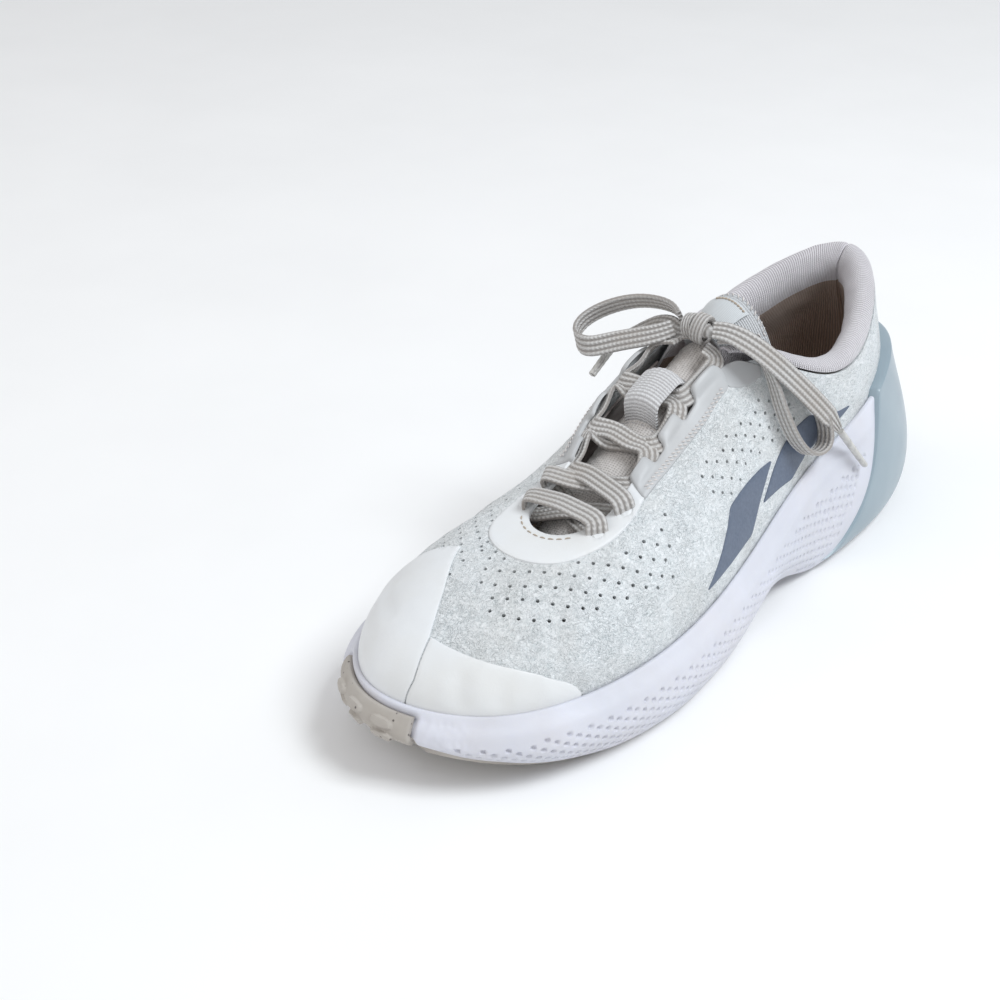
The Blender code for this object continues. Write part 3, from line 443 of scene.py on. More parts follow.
def panel(
    name, surface, outline, outer, inner, spacing, scale,
    holes=(), edge=0.5 * MM, relief=None, ring=False,
):
    """A sheet of material cut to an outline, with rounded edges and real holes.

    A ring goes all the way round the shoe and closes on itself at the heel."""
    st, reach, owner, triangles = cut_sheet(surface, outline, holes, spacing, scale, edge)
    s, t = st.T
    if edge:
        roundness = np.sqrt(1 - (1 - np.clip(reach / edge, 0, 1)) ** 2)
        roundness = np.where((owner >= 0) & (reach == 0), 0.6, roundness)
    else:
        roundness = np.ones_like(reach)
    base = surface(s, t)
    normal = normal_of(surface, s, t)
    lift = inner + (outer - inner) * (0.25 + 0.75 * roundness)
    if relief:
        extra = relief(s, t, base)
        lift = lift + extra
        inner = inner + extra
    top = base + normal * lift[:, None]
    bottom = base + normal * np.broadcast_to(inner, s.shape)[:, None]
    count = len(st)
    faces = triangles.tolist() + (triangles[:, ::-1] + count).tolist()
    for a, b in open_edges(triangles).tolist():
        if not ring or abs(s[a]) < HEEL or abs(s[b]) < HEEL:
            faces.append([b, a, a + count, b + count])
    uv = np.concatenate([st * np.array(scale)] * 2)
    return add_mesh(name, np.concatenate([top, bottom]), faces, uv, weld=ring)


def stitches(name, surface, line, lift, **size):
    """Thread stitches along a line of (s, t) points on a surface."""
    s, t = np.array(line, float).T
    base = surface(s, t)
    normals = normal_of(surface, s, t)
    dense, where = smooth_path(base + normals * lift, 0.4 * MM)
    return stitch_mesh(name, dense, spline(normals, where), **size)


def stitch_mesh(name, dense, normals, length=2.2 * MM, gap=0.8 * MM, width=0.7 * MM, slant=0.0):
    """Small humped bars laid one after another along a dense path."""
    travel = np.concatenate([[0], np.cumsum(np.linalg.norm(np.diff(dense, axis=0), axis=1))])
    points, faces = [], []
    starts = np.arange(gap, travel[-1] - length, length + gap)
    for start in starts:
        middle = start + length / 2
        at = np.array([np.interp(middle, travel, dense[:, k]) for k in range(3)])
        ahead = np.array([np.interp(middle + 0.3 * MM, travel, dense[:, k]) for k in range(3)])
        up = np.array([np.interp(middle, travel, normals[:, k]) for k in range(3)])
        along = (ahead - at) / np.linalg.norm(ahead - at)
        side = np.cross(along, up)
        along = along * math.cos(slant) + side * math.sin(slant)
        side = np.cross(along, up)
        first = len(points)
        for f in (-1.0, -0.6, 0.0, 0.6, 1.0):
            swell = math.sqrt(1 - 0.75 * f * f)
            centre = at + along * f * length / 2 - up * 0.35 * width * f * f
            for turn in np.arange(6) * math.pi / 3:
                ring = side * math.cos(turn) + up * 0.8 * math.sin(turn)
                points.append(centre + ring * width / 2 * swell)
        for ring in range(4):
            for k in range(6):
                a = first + ring * 6 + k
                b = first + ring * 6 + (k + 1) % 6
                faces.append([a, b, b + 6, a + 6])
        faces.append([first + k for k in range(6)][::-1])
        faces.append([first + 24 + k for k in range(6)])
    return add_mesh(name, np.array(points), faces, angle=80)


# ---------------------------------------------------------------- materials


class Finish:
    """A Principled material, with short calls for procedural detail."""

    def __init__(self, name, coords="Object", **sockets):
        self.material = bpy.data.materials.new(name)
        self.material.use_nodes = True
        self.tree = self.material.node_tree
        self.shader = self.tree.nodes["Principled BSDF"]
        self.source = self.tree.nodes.new("ShaderNodeTexCoord").outputs["Object"]
        if coords == "Metres":
            uv = self.tree.nodes.new("ShaderNodeUVMap")
            uv.uv_map = "Metres"
            self.cloth = uv.outputs["UV"]
        for socket, value in sockets.items():
            self.set(socket.replace("_", " ").title().replace("Ior", "IOR"), value)

    def set(self, socket, value):
        target = self.shader.inputs[socket]
        if isinstance(value, bpy.types.NodeSocket):
            self.tree.links.new(value, target)
        elif isinstance(value, tuple) and len(value) == 3:
            target.default_value = (*value, 1.0) if len(target.default_value) == 4 else value
        else:
            target.default_value = value

    def add(self, kind, inputs, output, **settings):
        node = self.tree.nodes.new(kind)
        for key, value in settings.items():
            setattr(node, key, value)
        for key, value in inputs.items():
            if isinstance(value, bpy.types.NodeSocket):
                self.tree.links.new(value, node.inputs[key])
            else:
                node.inputs[key].default_value = value
        return node.outputs[output]

    def stretched(self, scale):
        inputs = {"Vector": self.source, "Scale": scale}
        return self.add("ShaderNodeMapping", inputs, "Vector")

    def noise(self, scale, detail=3.0, rough=0.55, source=None, distortion=0.0):
        inputs = {
            "Vector": source or self.source,
            "Scale": scale,
            "Detail": detail,
            "Roughness": rough,
            "Distortion": distortion,
        }
        return self.add("ShaderNodeTexNoise", inputs, 0)

    def cells(self, scale):
        inputs = {"Vector": self.source, "Scale": scale}
        return self.add("ShaderNodeTexVoronoi", inputs, "Distance", feature="F1")

    def wave(self, scale, direction):
        inputs = {"Vector": self.cloth, "Scale": scale, "Distortion": 0.0}
        return self.add(
            "ShaderNodeTexWave", inputs, "Fac", bands_direction=direction, wave_profile="SIN"
        )

    def ramp(self, value, *stops):
        node = self.tree.nodes.new("ShaderNodeValToRGB")
        self.tree.links.new(value, node.inputs["Fac"])
        elements = node.color_ramp.elements
        for element, (position, colour) in zip(elements, (stops[0], stops[-1])):
            element.position = position
            element.color = (*colour, 1.0) if isinstance(colour, tuple) else (colour,) * 3 + (1,)
        for position, colour in stops[1:-1]:
            element = elements.new(position)
            element.color = (*colour, 1.0) if isinstance(colour, tuple) else (colour,) * 3 + (1,)
        return node.outputs["Color"]

    def mix(self, factor, a, b):
        node = self.tree.nodes.new("ShaderNodeMix")
        node.data_type = "RGBA"
        node.blend_type = "MIX"
        for key, value in ((0, factor), (6, a), (7, b)):
            if isinstance(value, bpy.types.NodeSocket):
                self.tree.links.new(value, node.inputs[key])
            elif isinstance(value, tuple):
                node.inputs[key].default_value = (*value, 1.0)
            else:
                node.inputs[key].default_value = value
        return node.outputs[2]

    def maths(self, operation, a, b=0.0):
        return self.add("ShaderNodeMath", {0: a, 1: b}, 0, operation=operation)

    def bump(self, height, distance, strength=1.0, under=None):
        inputs = {"Height": height, "Distance": distance, "Strength": strength}
        if under:
            inputs["Normal"] = under
        return self.add("ShaderNodeBump", inputs, "Normal")

    def dirt(self, colour, stain, amount, scale=28.0):
        """Soft patches of a stain, so that no large area is one even colour."""
        patches = self.ramp(self.noise(scale, 4.0, 0.6), (0.42, 0.0), (0.72, 1.0))
        return self.mix(self.maths("MULTIPLY", patches, amount), colour, stain)


def suede_finish():
    """Pale split suede: a matted nap of curled fibres, with darker ones among them."""
    made = Finish("hairy_suede", sheen_weight=0.3, sheen_roughness=0.6, roughness=0.95)
    nap = made.noise(620.0, 5.0, 0.68, made.stretched((1.0, 0.6, 1.0)), 2.0)
    curls = made.noise(330.0, 4.0, 0.62, made.stretched((0.7, 1.0, 1.0)), 3.2)
    colour = made.ramp(
        nap, (0.30, (0.44, 0.48, 0.50)), (0.41, (0.72, 0.77, 0.79)), (0.54, (0.90, 0.93, 0.95))
    )
    thread = made.maths("ABSOLUTE", made.maths("SUBTRACT", curls, 0.47))
    dark = made.ramp(thread, (0.010, 1.0), (0.034, 0.0))
    patches = made.ramp(made.noise(75.0, 3.0), (0.42, 0.15), (0.62, 0.85))
    colour = made.mix(made.maths("MULTIPLY", dark, patches), colour, (0.36, 0.40, 0.42))
    made.set("Base Color", made.dirt(colour, (0.58, 0.54, 0.48), 0.30))
    relief = made.bump(nap, 0.8 * MM, 1.0)
    made.set("Normal", made.bump(curls, 1.1 * MM, 0.7, relief))
    return made.material


def smooth_finish(name, colour, stain, roughness=0.48):
    made = Finish(name, coat_weight=0.06, coat_roughness=0.4)
    grain = made.cells(1500.0)
    cloudy = made.noise(60.0, 3.0)
    shade = made.ramp(cloudy, (0.3, tuple(0.95 * c for c in colour)), (0.7, colour))
    made.set("Base Color", made.dirt(shade, stain, 0.30, 22.0))
    made.set("Roughness", made.ramp(made.noise(90.0), (0.3, roughness - 0.06), (0.7, roughness + 0.1)))
    relief = made.bump(grain, 0.05 * MM, 0.35)
    made.set("Normal", made.bump(made.noise(140.0, 2.0), 0.35 * MM, 0.25, relief))
    return made.material


def foam_finish():
    made = Finish("midsole_foam", subsurface_weight=0.05, subsurface_radius=(2 * MM, 2 * MM, 3 * MM))
    cloudy = made.ramp(made.noise(35.0), (0.3, (0.62, 0.63, 0.69)), (0.7, (0.69, 0.70, 0.77)))
    colour = made.dirt(cloudy, (0.60, 0.54, 0.50), 0.22, 30.0)
    made.set("Base Color", colour)
    made.set("Roughness", made.ramp(made.noise(200.0), (0.3, 0.5), (0.7, 0.66)))
    made.set("Normal", made.bump(made.noise(1400.0, 2.0), 0.05 * MM, 0.4))
    return made.material


def clip_finish():
    made = Finish("heel_clip_plastic", ior=1.49, coat_weight=0.25, coat_roughness=0.2)
    tone = made.ramp(made.noise(24.0), (0.3, (0.25, 0.32, 0.37)), (0.7, (0.31, 0.385, 0.43)))
    made.set("Base Color", tone)
    made.set("Roughness", made.ramp(made.noise(40.0), (0.3, 0.30), (0.7, 0.40)))
    return made.material


def rubber_finish():
    made = Finish("speckled_rubber")
    speck = made.ramp(made.cells(330.0), (0.10, 1.0), (0.17, 0.0))
    rare = made.ramp(made.noise(210.0, 0.0), (0.44, 0.0), (0.50, 1.0))
    base = made.ramp(made.noise(50.0), (0.3, (0.40, 0.37, 0.34)), (0.7, (0.50, 0.47, 0.43)))
    colour = made.mix(made.maths("MULTIPLY", speck, rare), base, (0.09, 0.08, 0.08))
    made.set("Base Color", made.dirt(colour, (0.30, 0.26, 0.22), 0.25, 45.0))
    made.set("Roughness", made.ramp(made.noise(300.0), (0.3, 0.68), (0.7, 0.85)))
    made.set("Normal", made.bump(made.noise(1100.0, 3.0), 0.08 * MM, 0.5))
    return made.material


def lace_finish():
    """A flat braid: four ribs with grooves between, each of small chevron stitches. Painted shade darkens
    the colour in the grooves and low lines.
    """
    made = Finish("lace_braid", "Metres", sheen_weight=0.3, sheen_roughness=0.5)
    ribs = made.wave(math.pi / 10 / (LACE_WIDTH / 4), "X")
    run = made.add("ShaderNodeSeparateXYZ", {"Vector": made.cloth}, "Y")
    bent = made.maths("MULTIPLY", ribs, 0.8 * MM)
    chevrons = made.add(
        "ShaderNodeTexWave",
        {
            "Vector": made.add("ShaderNodeCombineXYZ", {"X": bent, "Y": run}, "Vector"),
            "Scale": math.pi / 5 / (1.7 * MM),
        },
        "Fac",
        bands_direction="DIAGONAL",
    )
    fuzz = made.noise(1500.0, 2.0)
    weave = made.maths("MULTIPLY", made.maths("ADD", chevrons, 0.9), ribs)
    # Painted shade: the colour darkens where the weave is low, in the grooves between the ribs and the
    # stitches
    colour = made.ramp(
        weave, (0.05, (0.24, 0.22, 0.21)), (0.40, (0.42, 0.40, 0.38)), (1.0, (0.62, 0.61, 0.60))
    )
    colour = made.mix(made.maths("MULTIPLY", fuzz, 0.25), colour, (0.62, 0.60, 0.58))
    made.set("Base Color", made.dirt(colour, (0.38, 0.32, 0.26), 0.3, 60.0))
    made.set("Roughness", made.ramp(fuzz, (0.3, 0.75), (0.7, 0.92)))
    made.set("Normal", made.bump(fuzz, 0.1 * MM, 0.5, made.bump(weave, 0.35 * MM, 0.9)))
    return made.material


def knit_finish(name, dark, light, pitch, direction="X"):
    """A ribbed knit: wales across, small loops along them, with painted shade darkening the colour in the
    low lines between them.
    """
    made = Finish(name, "Metres", sheen_weight=0.25, sheen_roughness=0.6)
    ribs = made.wave(math.pi / 10 / pitch, direction)
    loops = made.wave(math.pi / 10 / (0.7 * pitch), "Y" if direction == "X" else "X")
    fuzz = made.noise(1300.0, 2.0)
    weave = made.maths("MULTIPLY", made.maths("ADD", loops, 1.2), ribs)
    # Painted shade: the dark colour goes where the weave is low, between the wales and the loops
    colour = made.ramp(weave, (0.15, dark), (0.9, light))
    made.set("Base Color", made.dirt(colour, tuple(0.75 * c for c in dark), 0.25, 40.0))
    made.set("Roughness", made.ramp(fuzz, (0.3, 0.85), (0.7, 0.97)))
    made.set("Normal", made.bump(fuzz, 0.1 * MM, 0.4, made.bump(weave, 0.3 * MM, 0.8)))
    return made.material


def mesh_finish(name, dark, light):
    """An open warp-knit: small pits between soft raised cells, with painted shade darkening the pits."""
    made = Finish(name, "Metres", sheen_weight=0.2, sheen_roughness=0.6)
    across = made.wave(math.pi / 10 / (1.1 * MM), "X")
    along = made.wave(math.pi / 10 / (0.9 * MM), "Y")
    pits = made.maths("MULTIPLY", across, along)
    fuzz = made.noise(1200.0, 3.0)
    # Painted shade: the colour turns dark in the sunken pits
    colour = made.ramp(pits, (0.05, light), (0.75, dark))
    colour = made.mix(made.maths("MULTIPLY", fuzz, 0.3), colour, light)
    made.set("Base Color", made.dirt(colour, (0.42, 0.36, 0.30), 0.3, 40.0))
    made.set("Roughness", made.ramp(fuzz, (0.3, 0.85), (0.7, 0.97)))
    sunk = made.maths("SUBTRACT", 1.0, pits)
    made.set("Normal", made.bump(fuzz, 0.12 * MM, 0.5, made.bump(sunk, 0.35 * MM, 0.7)))
    return made.material


def brushed_finish(name, dark, light):
    """Short matted fibres, for the sockliner and the stiffening boards."""
    made = Finish(name, sheen_weight=0.15)
    fibres = made.noise(900.0, 4.0, 0.6, made.stretched((1.0, 0.4, 1.0)), 1.0)
    colour = made.ramp(fibres, (0.3, dark), (0.7, light))
    made.set("Base Color", made.dirt(colour, tuple(0.7 * c for c in dark), 0.35, 30.0))
    made.set("Roughness", made.ramp(fibres, (0.3, 0.82), (0.7, 0.90)))
    made.set("Normal", made.bump(fibres, 0.25 * MM, 0.6))
    return made.material


def slate_finish():
    made = Finish("slate_print", coat_weight=0.05)
    grain = made.noise(900.0, 3.0)
    tone = made.ramp(grain, (0.3, (0.095, 0.122, 0.175)), (0.7, (0.125, 0.155, 0.215)))
    made.set("Base Color", made.dirt(tone, (0.20, 0.22, 0.26), 0.2, 50.0))
    made.set("Roughness", made.ramp(made.noise(120.0), (0.3, 0.5), (0.7, 0.66)))
    made.set("Normal", made.bump(grain, 0.06 * MM, 0.4))
    return made.material


def satin_finish():
    made = Finish("label_satin", "Metres", sheen_weight=0.3)
    weft = made.wave(math.pi / 10 / (0.5 * MM), "Y")
    tone = made.ramp(weft, (0.2, (0.52, 0.55, 0.57)), (0.8, (0.66, 0.69, 0.71)))
    made.set("Base Color", made.dirt(tone, (0.5, 0.48, 0.44), 0.2, 70.0))
    made.set("Roughness", made.ramp(made.noise(400.0), (0.3, 0.42), (0.7, 0.58)))
    made.set("Normal", made.bump(weft, 0.08 * MM, 0.5))
    return made.material


def film_finish():
    made = Finish("aglet_film", coat_weight=0.5, coat_roughness=0.15)
    under = made.noise(420.0, 2.0, 0.5, made.stretched((1.0, 1.0, 0.3)))
    tone = made.ramp(under, (0.3, (0.42, 0.41, 0.39)), (0.7, (0.60, 0.59, 0.56)))
    made.set("Base Color", tone)
    made.set("Roughness", made.ramp(made.noise(300.0), (0.3, 0.25), (0.7, 0.4)))
    made.set("Normal", made.bump(under, 0.12 * MM, 0.4))
    return made.material


def thread_finish(name, colour):
    made = Finish(name, sheen_weight=0.2)
    twist = made.noise(2500.0, 2.0)
    made.set("Base Color", made.ramp(twist, (0.3, tuple(0.8 * c for c in colour)), (0.7, colour)))
    made.set("Roughness", made.ramp(twist, (0.3, 0.7), (0.7, 0.85)))
    made.set("Normal", made.bump(twist, 0.08 * MM, 0.5))
    return made.material


def shank_finish():
    made = Finish("shank_plastic")
    grain = made.noise(500.0, 2.0)
    made.set("Base Color", made.ramp(grain, (0.3, (0.05, 0.05, 0.06)), (0.7, (0.08, 0.08, 0.09))))
    made.set("Roughness", made.ramp(grain, (0.3, 0.35), (0.7, 0.5)))
    made.set("Normal", made.bump(grain, 0.04 * MM, 0.4))
    return made.material


SUEDE = suede_finish()
SMOOTH = smooth_finish("smooth_synthetic", (0.79, 0.81, 0.83), (0.68, 0.65, 0.58))
EYESTAY = smooth_finish("moulded_eyestay", (0.50, 0.51, 0.52), (0.43, 0.40, 0.37), 0.44)
FOAM = foam_finish()
CLIP = clip_finish()
RUBBER = rubber_finish()
LACE = lace_finish()
KNIT = knit_finish("collar_knit", (0.50, 0.47, 0.50), (0.80, 0.78, 0.81), 1.1 * MM)
TAN_KNIT = knit_finish("inner_lining_knit", (0.25, 0.17, 0.13), (0.42, 0.30, 0.23), 1.1 * MM)
RIM_KNIT = knit_finish("tongue_rim_knit", (0.50, 0.51, 0.53), (0.74, 0.76, 0.78), 0.9 * MM, "Y")
BINDING = knit_finish("tongue_edge_knit", (0.34, 0.29, 0.25), (0.60, 0.54, 0.49), 1.0 * MM, "Y")
WAFFLE = mesh_finish("tongue_mesh", (0.47, 0.44, 0.42), (0.66, 0.63, 0.61))
WEBBING = knit_finish("keeper_webbing", (0.50, 0.49, 0.50), (0.74, 0.74, 0.75), 1.3 * MM, "Y")
SOCK = brushed_finish("sockliner_nap", (0.22, 0.14, 0.10), (0.44, 0.31, 0.23))
BOARD = brushed_finish("fibre_board", (0.60, 0.55, 0.47), (0.76, 0.72, 0.63))
PADDING = brushed_finish("open_foam", (0.66, 0.65, 0.58), (0.82, 0.81, 0.74))
LINING = brushed_finish("vamp_lining_textile", (0.34, 0.30, 0.29), (0.52, 0.48, 0.46))
SLATE = slate_finish()
SATIN = satin_finish()
FILM = film_finish()
PALE_THREAD = thread_finish("pale_thread", (0.74, 0.70, 0.68))
TAN_THREAD = thread_finish("tan_thread", (0.50, 0.42, 0.34))
SHANK = shank_finish()


def place(piece, finish, slot, *nodes, body="shoe"):
    """Give a finished piece its material and body, and hide the nodes it stands for. The slot argument is
    not used.
    """
    piece.data.materials.append(finish)
    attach(piece, body)
    if nodes:
        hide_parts(*nodes)
    return piece


# ---------------------------------------------------------------- the upper

UPPER_SCALE = (36 * MM, 70 * MM)
THROAT_EDGE = 0.885
EYELETS = [(1.62, 0.925), (2.38, 0.917)]
TEETH = [(2.86, 3.26), (3.62, 3.95), (4.30, 4.64)]

# Rows of perforations on the outer half: the (station, height) points that each row
# runs through. The inner half has the same rows.
FOREFOOT_ROWS = [
    [(-0.55, 0.82), (-0.26, 0.90)],
    [(-0.41, 0.79), (0.28, 0.91)],
    [(-0.17, 0.79), (0.39, 0.855), (1.27, 0.82), (2.13, 0.685), (3.08, 0.42)],
    [(-0.05, 0.75), (0.77, 0.795), (1.84, 0.675), (2.81, 0.445)],
    [(0.07, 0.70), (0.86, 0.725), (1.6, 0.65), (2.34, 0.51)],
    [(0.36, 0.655), (0.96, 0.655), (1.89, 0.54)],
    [(0.47, 0.60), (1.48, 0.54)],
    [(2.20, 0.74), (2.94, 0.54)],
    [(2.56, 0.72), (3.03, 0.58)],
    [(2.91, 0.69), (2.98, 0.67)],
    [(3.04, 0.73), (3.10, 0.71)],
]
QUARTER_ROWS = [
    [(5.06, 0.74), (5.43, 0.72)],
    [(4.96, 0.68), (5.58, 0.61)],
    [(4.71, 0.665), (5.27, 0.545)],
    [(4.43, 0.675), (5.32, 0.45)],
    [(4.30, 0.645), (5.10, 0.41)],
    [(4.0, 0.69), (5.01, 0.35)],
    [(3.84, 0.67), (4.76, 0.34)],
    [(3.92, 0.565), (4.50, 0.355)],
]

# Creases where the shoe flexes: (station, height) of both ends, width and depth.
CREASES = [
    ((1.30, 0.60), (2.02, 0.14), 3.0 * MM, 0.9 * MM),
    ((1.95, 0.62), (2.75, 0.30), 4.0 * MM, 0.5 * MM),
    ((2.9, 0.42), (3.2, 0.12), 4.5 * MM, 0.5 * MM),
    ((0.75, 0.30), (0.95, 0.10), 3.0 * MM, 0.6 * MM),
    ((1.25, 0.26), (1.35, 0.10), 3.0 * MM, 0.5 * MM),
    ((-0.5, 0.40), (-1.1, 0.36), 2.5 * MM, 0.4 * MM),
    ((-1.4, 0.62), (-2.1, 0.14), 3.5 * MM, 0.8 * MM),
    ((-2.2, 0.60), (-2.9, 0.25), 4.5 * MM, 0.6 * MM),
]


def body_relief(s, t, base):
    """Soft waves and flex creases, shared by every layer of the upper."""
    lift = 0.45 * MM * value_noise(base, 24 * MM, 3) + 0.18 * MM * value_noise(base, 9 * MM, 5)
    flat = np.stack([s, t], axis=-1) * UPPER_SCALE
    for start, end, width, depth in CREASES:
        a, b = np.array(start) * UPPER_SCALE, np.array(end) * UPPER_SCALE
        along = b - a
        share = (flat - a) @ along / (along @ along)
        gap = np.linalg.norm(flat - a - np.clip(share, 0, 1)[..., None] * along, axis=-1)
        fade = smoothstep(-0.25, 0.2, share) * smoothstep(1.25, 0.8, share)
        valley = np.exp(-((gap / width) ** 2))
        shoulder = 0.4 * np.exp(-(((gap - 1.9 * width) / width) ** 2))
        lift += depth * fade * (shoulder - valley)
    return lift * smoothstep(0.0, 0.12, t) * smoothstep(1.0, 0.86, t)


def suede_relief(s, t, base):
    return body_relief(s, t, base) + 0.10 * MM * value_noise(base, 2.2 * MM, 7)


# Two parallel slanted bars: name, first station, width in stations, lowest and highest
# place on the profile
SIDE_MARKS = [
    ("side_mark_front", 3.58, 0.85, 0.17, 0.42),
    ("side_mark_rear", 4.72, 0.55, 0.25, 0.66),
]
MARK_LEAN = 2.2


def on_a_mark(s, t):
    """Whether a place is on a side mark or within a few millimetres of one."""
    for _, start, width, low, high in SIDE_MARKS:
        along = s - start - MARK_LEAN * (t - low)
        if -0.12 < along < width + 0.12 and low - 0.04 < t < high + 0.04:
            return True
    return False


def perforations(rows, side):
    """Holes a pitch apart along rows of points, on one side of the shoe."""
    holes = []
    for row in rows:
        line = np.array(curve_through(*row, pieces=24))
        place_ = upper(*line.T)
        travel = np.concatenate([[0], np.cumsum(np.linalg.norm(np.diff(place_, axis=0), axis=1))])
        for gone in np.arange(0, travel[-1] + 0.3 * PERFORATION_PITCH, PERFORATION_PITCH):
            s, t = (np.interp(gone, travel, line[:, k]) for k in (0, 1))
            if (side > 0 or s > 0.35) and not (side > 0 and on_a_mark(s, t)):
                holes.append((side * s, t, PERFORATION / 2, 8))
    return holes


def make_suede():
    holes = []
    for rows in (FOREFOOT_ROWS, QUARTER_ROWS):
        holes += perforations(rows, 1) + perforations(rows, -1)
    outline = [
        (-HEEL, 0.02), (HEEL, 0.02), (HEEL, 1.0), (5.3, 1.0), (4.75, THROAT_EDGE),
        (-4.75, THROAT_EDGE), (-5.3, 1.0), (-HEEL, 1.0),
    ]
    piece = panel(
        "suede_upper", upper_base, outline, 0.0, -UPPER_THICK, 1.7 * MM, UPPER_SCALE,
        holes, 0.0, suede_relief, ring=True,
    )
    place(piece, SUEDE, "suede", "upper_suede")


def under_lip(start, end):
    """Points just below the sole's lip, where a layer of the upper ends."""
    return [(s, float(lip_t(s)) - 0.03) for s in np.linspace(start, end, 9)]


def make_toe_pieces():
    """The smooth toe cap, pointed on the inner side, and the outer overlay."""
    lift = OVERLAY_THICK
    cap = under_lip(-2.05, 0.34) + curve_through((0.335, 0.2), (0.27, 0.29), (0.14, 0.424))
    cap += curve_through((0.12, 0.436), (-0.22, 0.612), (-0.70, 0.715))
    cap += curve_through((-0.77, 0.725), (-1.2, 0.60), (-1.72, 0.36), (-1.98, 0.18))
    piece = panel(
        "toe_cap_panel", upper_base, cap, lift, 0.05 * MM, 1.8 * MM, UPPER_SCALE,
        edge=0.4 * MM, relief=body_relief,
    )
    place(piece, SMOOTH, "smooth_synthetic", "toe_cap")
    side = under_lip(0.355, 2.16) + curve_through((2.16, 0.06), (2.08, 0.12), (1.92, 0.185), (1.6, 0.27))
    side += curve_through((1.5, 0.29), (1.155, 0.338), (0.57, 0.395), (0.165, 0.424))
    side += curve_through((0.17, 0.415), (0.285, 0.29), (0.35, 0.2))
    piece = panel(
        "toe_side_overlay", upper_base, side, lift, 0.05 * MM, 1.8 * MM, UPPER_SCALE,
        edge=0.4 * MM, relief=body_relief,
    )
    place(piece, SMOOTH, "smooth_synthetic", "toe_overlay_lateral")


def rounded(points, radius, scale):
    """An outline with its corners rounded, on a surface of that scale."""
    scale = np.array(scale)
    flat = np.array(points, float) * scale
    made = []
    for before, corner, after in zip(np.roll(flat, 1, axis=0), flat, np.roll(flat, -1, axis=0)):
        ends = []
        for other in (before, after):
            away = other - corner
            length = np.linalg.norm(away)
            ends.append(corner + away * min(radius / length, 0.45))
        for f in np.linspace(0, 1, 6):
            made.append((1 - f) ** 2 * ends[0] + 2 * f * (1 - f) * corner + f * f * ends[1])
    return [tuple(p) for p in np.array(made) / scale]


def make_vamp_patch():
    """The smooth U round the foot of the throat, with the first lace holes."""
    low = curve_through(
        (-2.95, 0.875), (-2.74, 0.868), (-2.3, 0.85), (-1.5, 0.842), (-0.8, 0.83), (0, 0.835),
        (0.8, 0.83), (1.5, 0.842), (2.3, 0.85), (2.74, 0.868), (2.95, 0.875), pieces=6,
    )
    high = [(s, 0.975) for s in np.linspace(2.95, -2.95, 25)]
    holes = [(side * s, t, 2.3 * MM, 16) for s, t in EYELETS for side in (1, -1)]
    piece = panel(
        "eyelet_patch", upper_base, low + high, OVERLAY_THICK + 0.1 * MM, -0.5 * MM,
        1.3 * MM, UPPER_SCALE, holes, 0.5 * MM, body_relief,
    )
    place(piece, SMOOTH, "smooth_synthetic", "vamp_eyelet_patch")
    arc = [(s, 0.947) for s in np.linspace(-1.1, 1.1, 15)]
    thread = stitches(
        "throat_stitches", upper_base, arc, OVERLAY_THICK + 0.3 * MM,
        length=2.0 * MM, gap=0.9 * MM, width=0.6 * MM,
    )
    place(thread, TAN_THREAD, "smooth_synthetic")


def eyestay_relief(s, t, base):
    """The teeth swell over the lace that runs behind them."""
    swell = 0.0
    for start, end in TEETH:
        front = smoothstep(start - 0.1, start + 0.12, abs(s))
        swell = swell + front * smoothstep(end + 0.1, end - 0.12, abs(s))
    crest = swell * smoothstep(0.90, 0.96, t)
    groove = 0.5 * MM * np.exp(-(((t - 0.918) / 0.012) ** 2)) * swell
    return 0.9 * MM * crest - groove + body_relief(s, t, base)


def make_eyestays():
    for name, side in (("lateral", 1), ("medial", -1)):
        outline = [
            (2.80, 0.868), (3.16, 0.862), (3.755, 0.834), (4.27, 0.806), (4.74, 0.838),
            (4.77, 0.94), (4.70, 0.985), (4.30, 0.985), (4.28, 0.915), (3.99, 0.915),
            (3.96, 0.995), (3.60, 0.995), (3.58, 0.930), (3.29, 0.930), (3.26, 0.998),
            (2.84, 0.998), (2.78, 0.93),
        ]
        outline = [(side * s, t) for s, t in rounded(outline, 2.2 * MM, UPPER_SCALE)]
        piece = panel(
            f"eyestay_band_{name}", upper_base, outline, 1.5 * MM, 0.0, 1.0 * MM, UPPER_SCALE,
            edge=1.1 * MM, relief=eyestay_relief,
        )
        place(piece, EYESTAY, "moulded_eyestay", f"eyestay_{name}")
        line = [(2.9, 0.884), (3.16, 0.880), (3.755, 0.852), (4.27, 0.824), (4.66, 0.853)]
        for row, shift in (("outer", 0.0), ("inner", 0.016)):
            edge = curve_through(*[(side * s, t + shift) for s, t in line], pieces=10)
            thread = stitches(
                f"eyestay_stitches_{row}_{name}", upper_base, edge, 1.75 * MM,
                length=1.6 * MM, gap=0.7 * MM, width=0.55 * MM, slant=0.5 * side,
            )
            place(thread, PALE_THREAD, "moulded_eyestay")
        tab = [
            (4.72, 0.94), (4.75, 0.845), (4.90, 0.815), (5.08, 0.83), (5.20, 0.88),
            (5.24, 0.95), (5.00, 0.965),
        ]
        tab = [(side * s, t) for s, t in rounded(tab, 1.2 * MM, UPPER_SCALE)]
        piece = panel(
            f"top_tab_{name}", upper_base, tab, 0.4 * MM, -0.5 * MM, 1.3 * MM, UPPER_SCALE,
            edge=0.3 * MM, relief=body_relief,
        )
        place(piece, EYESTAY, "smooth_synthetic", f"eyelet_tab_{name}")


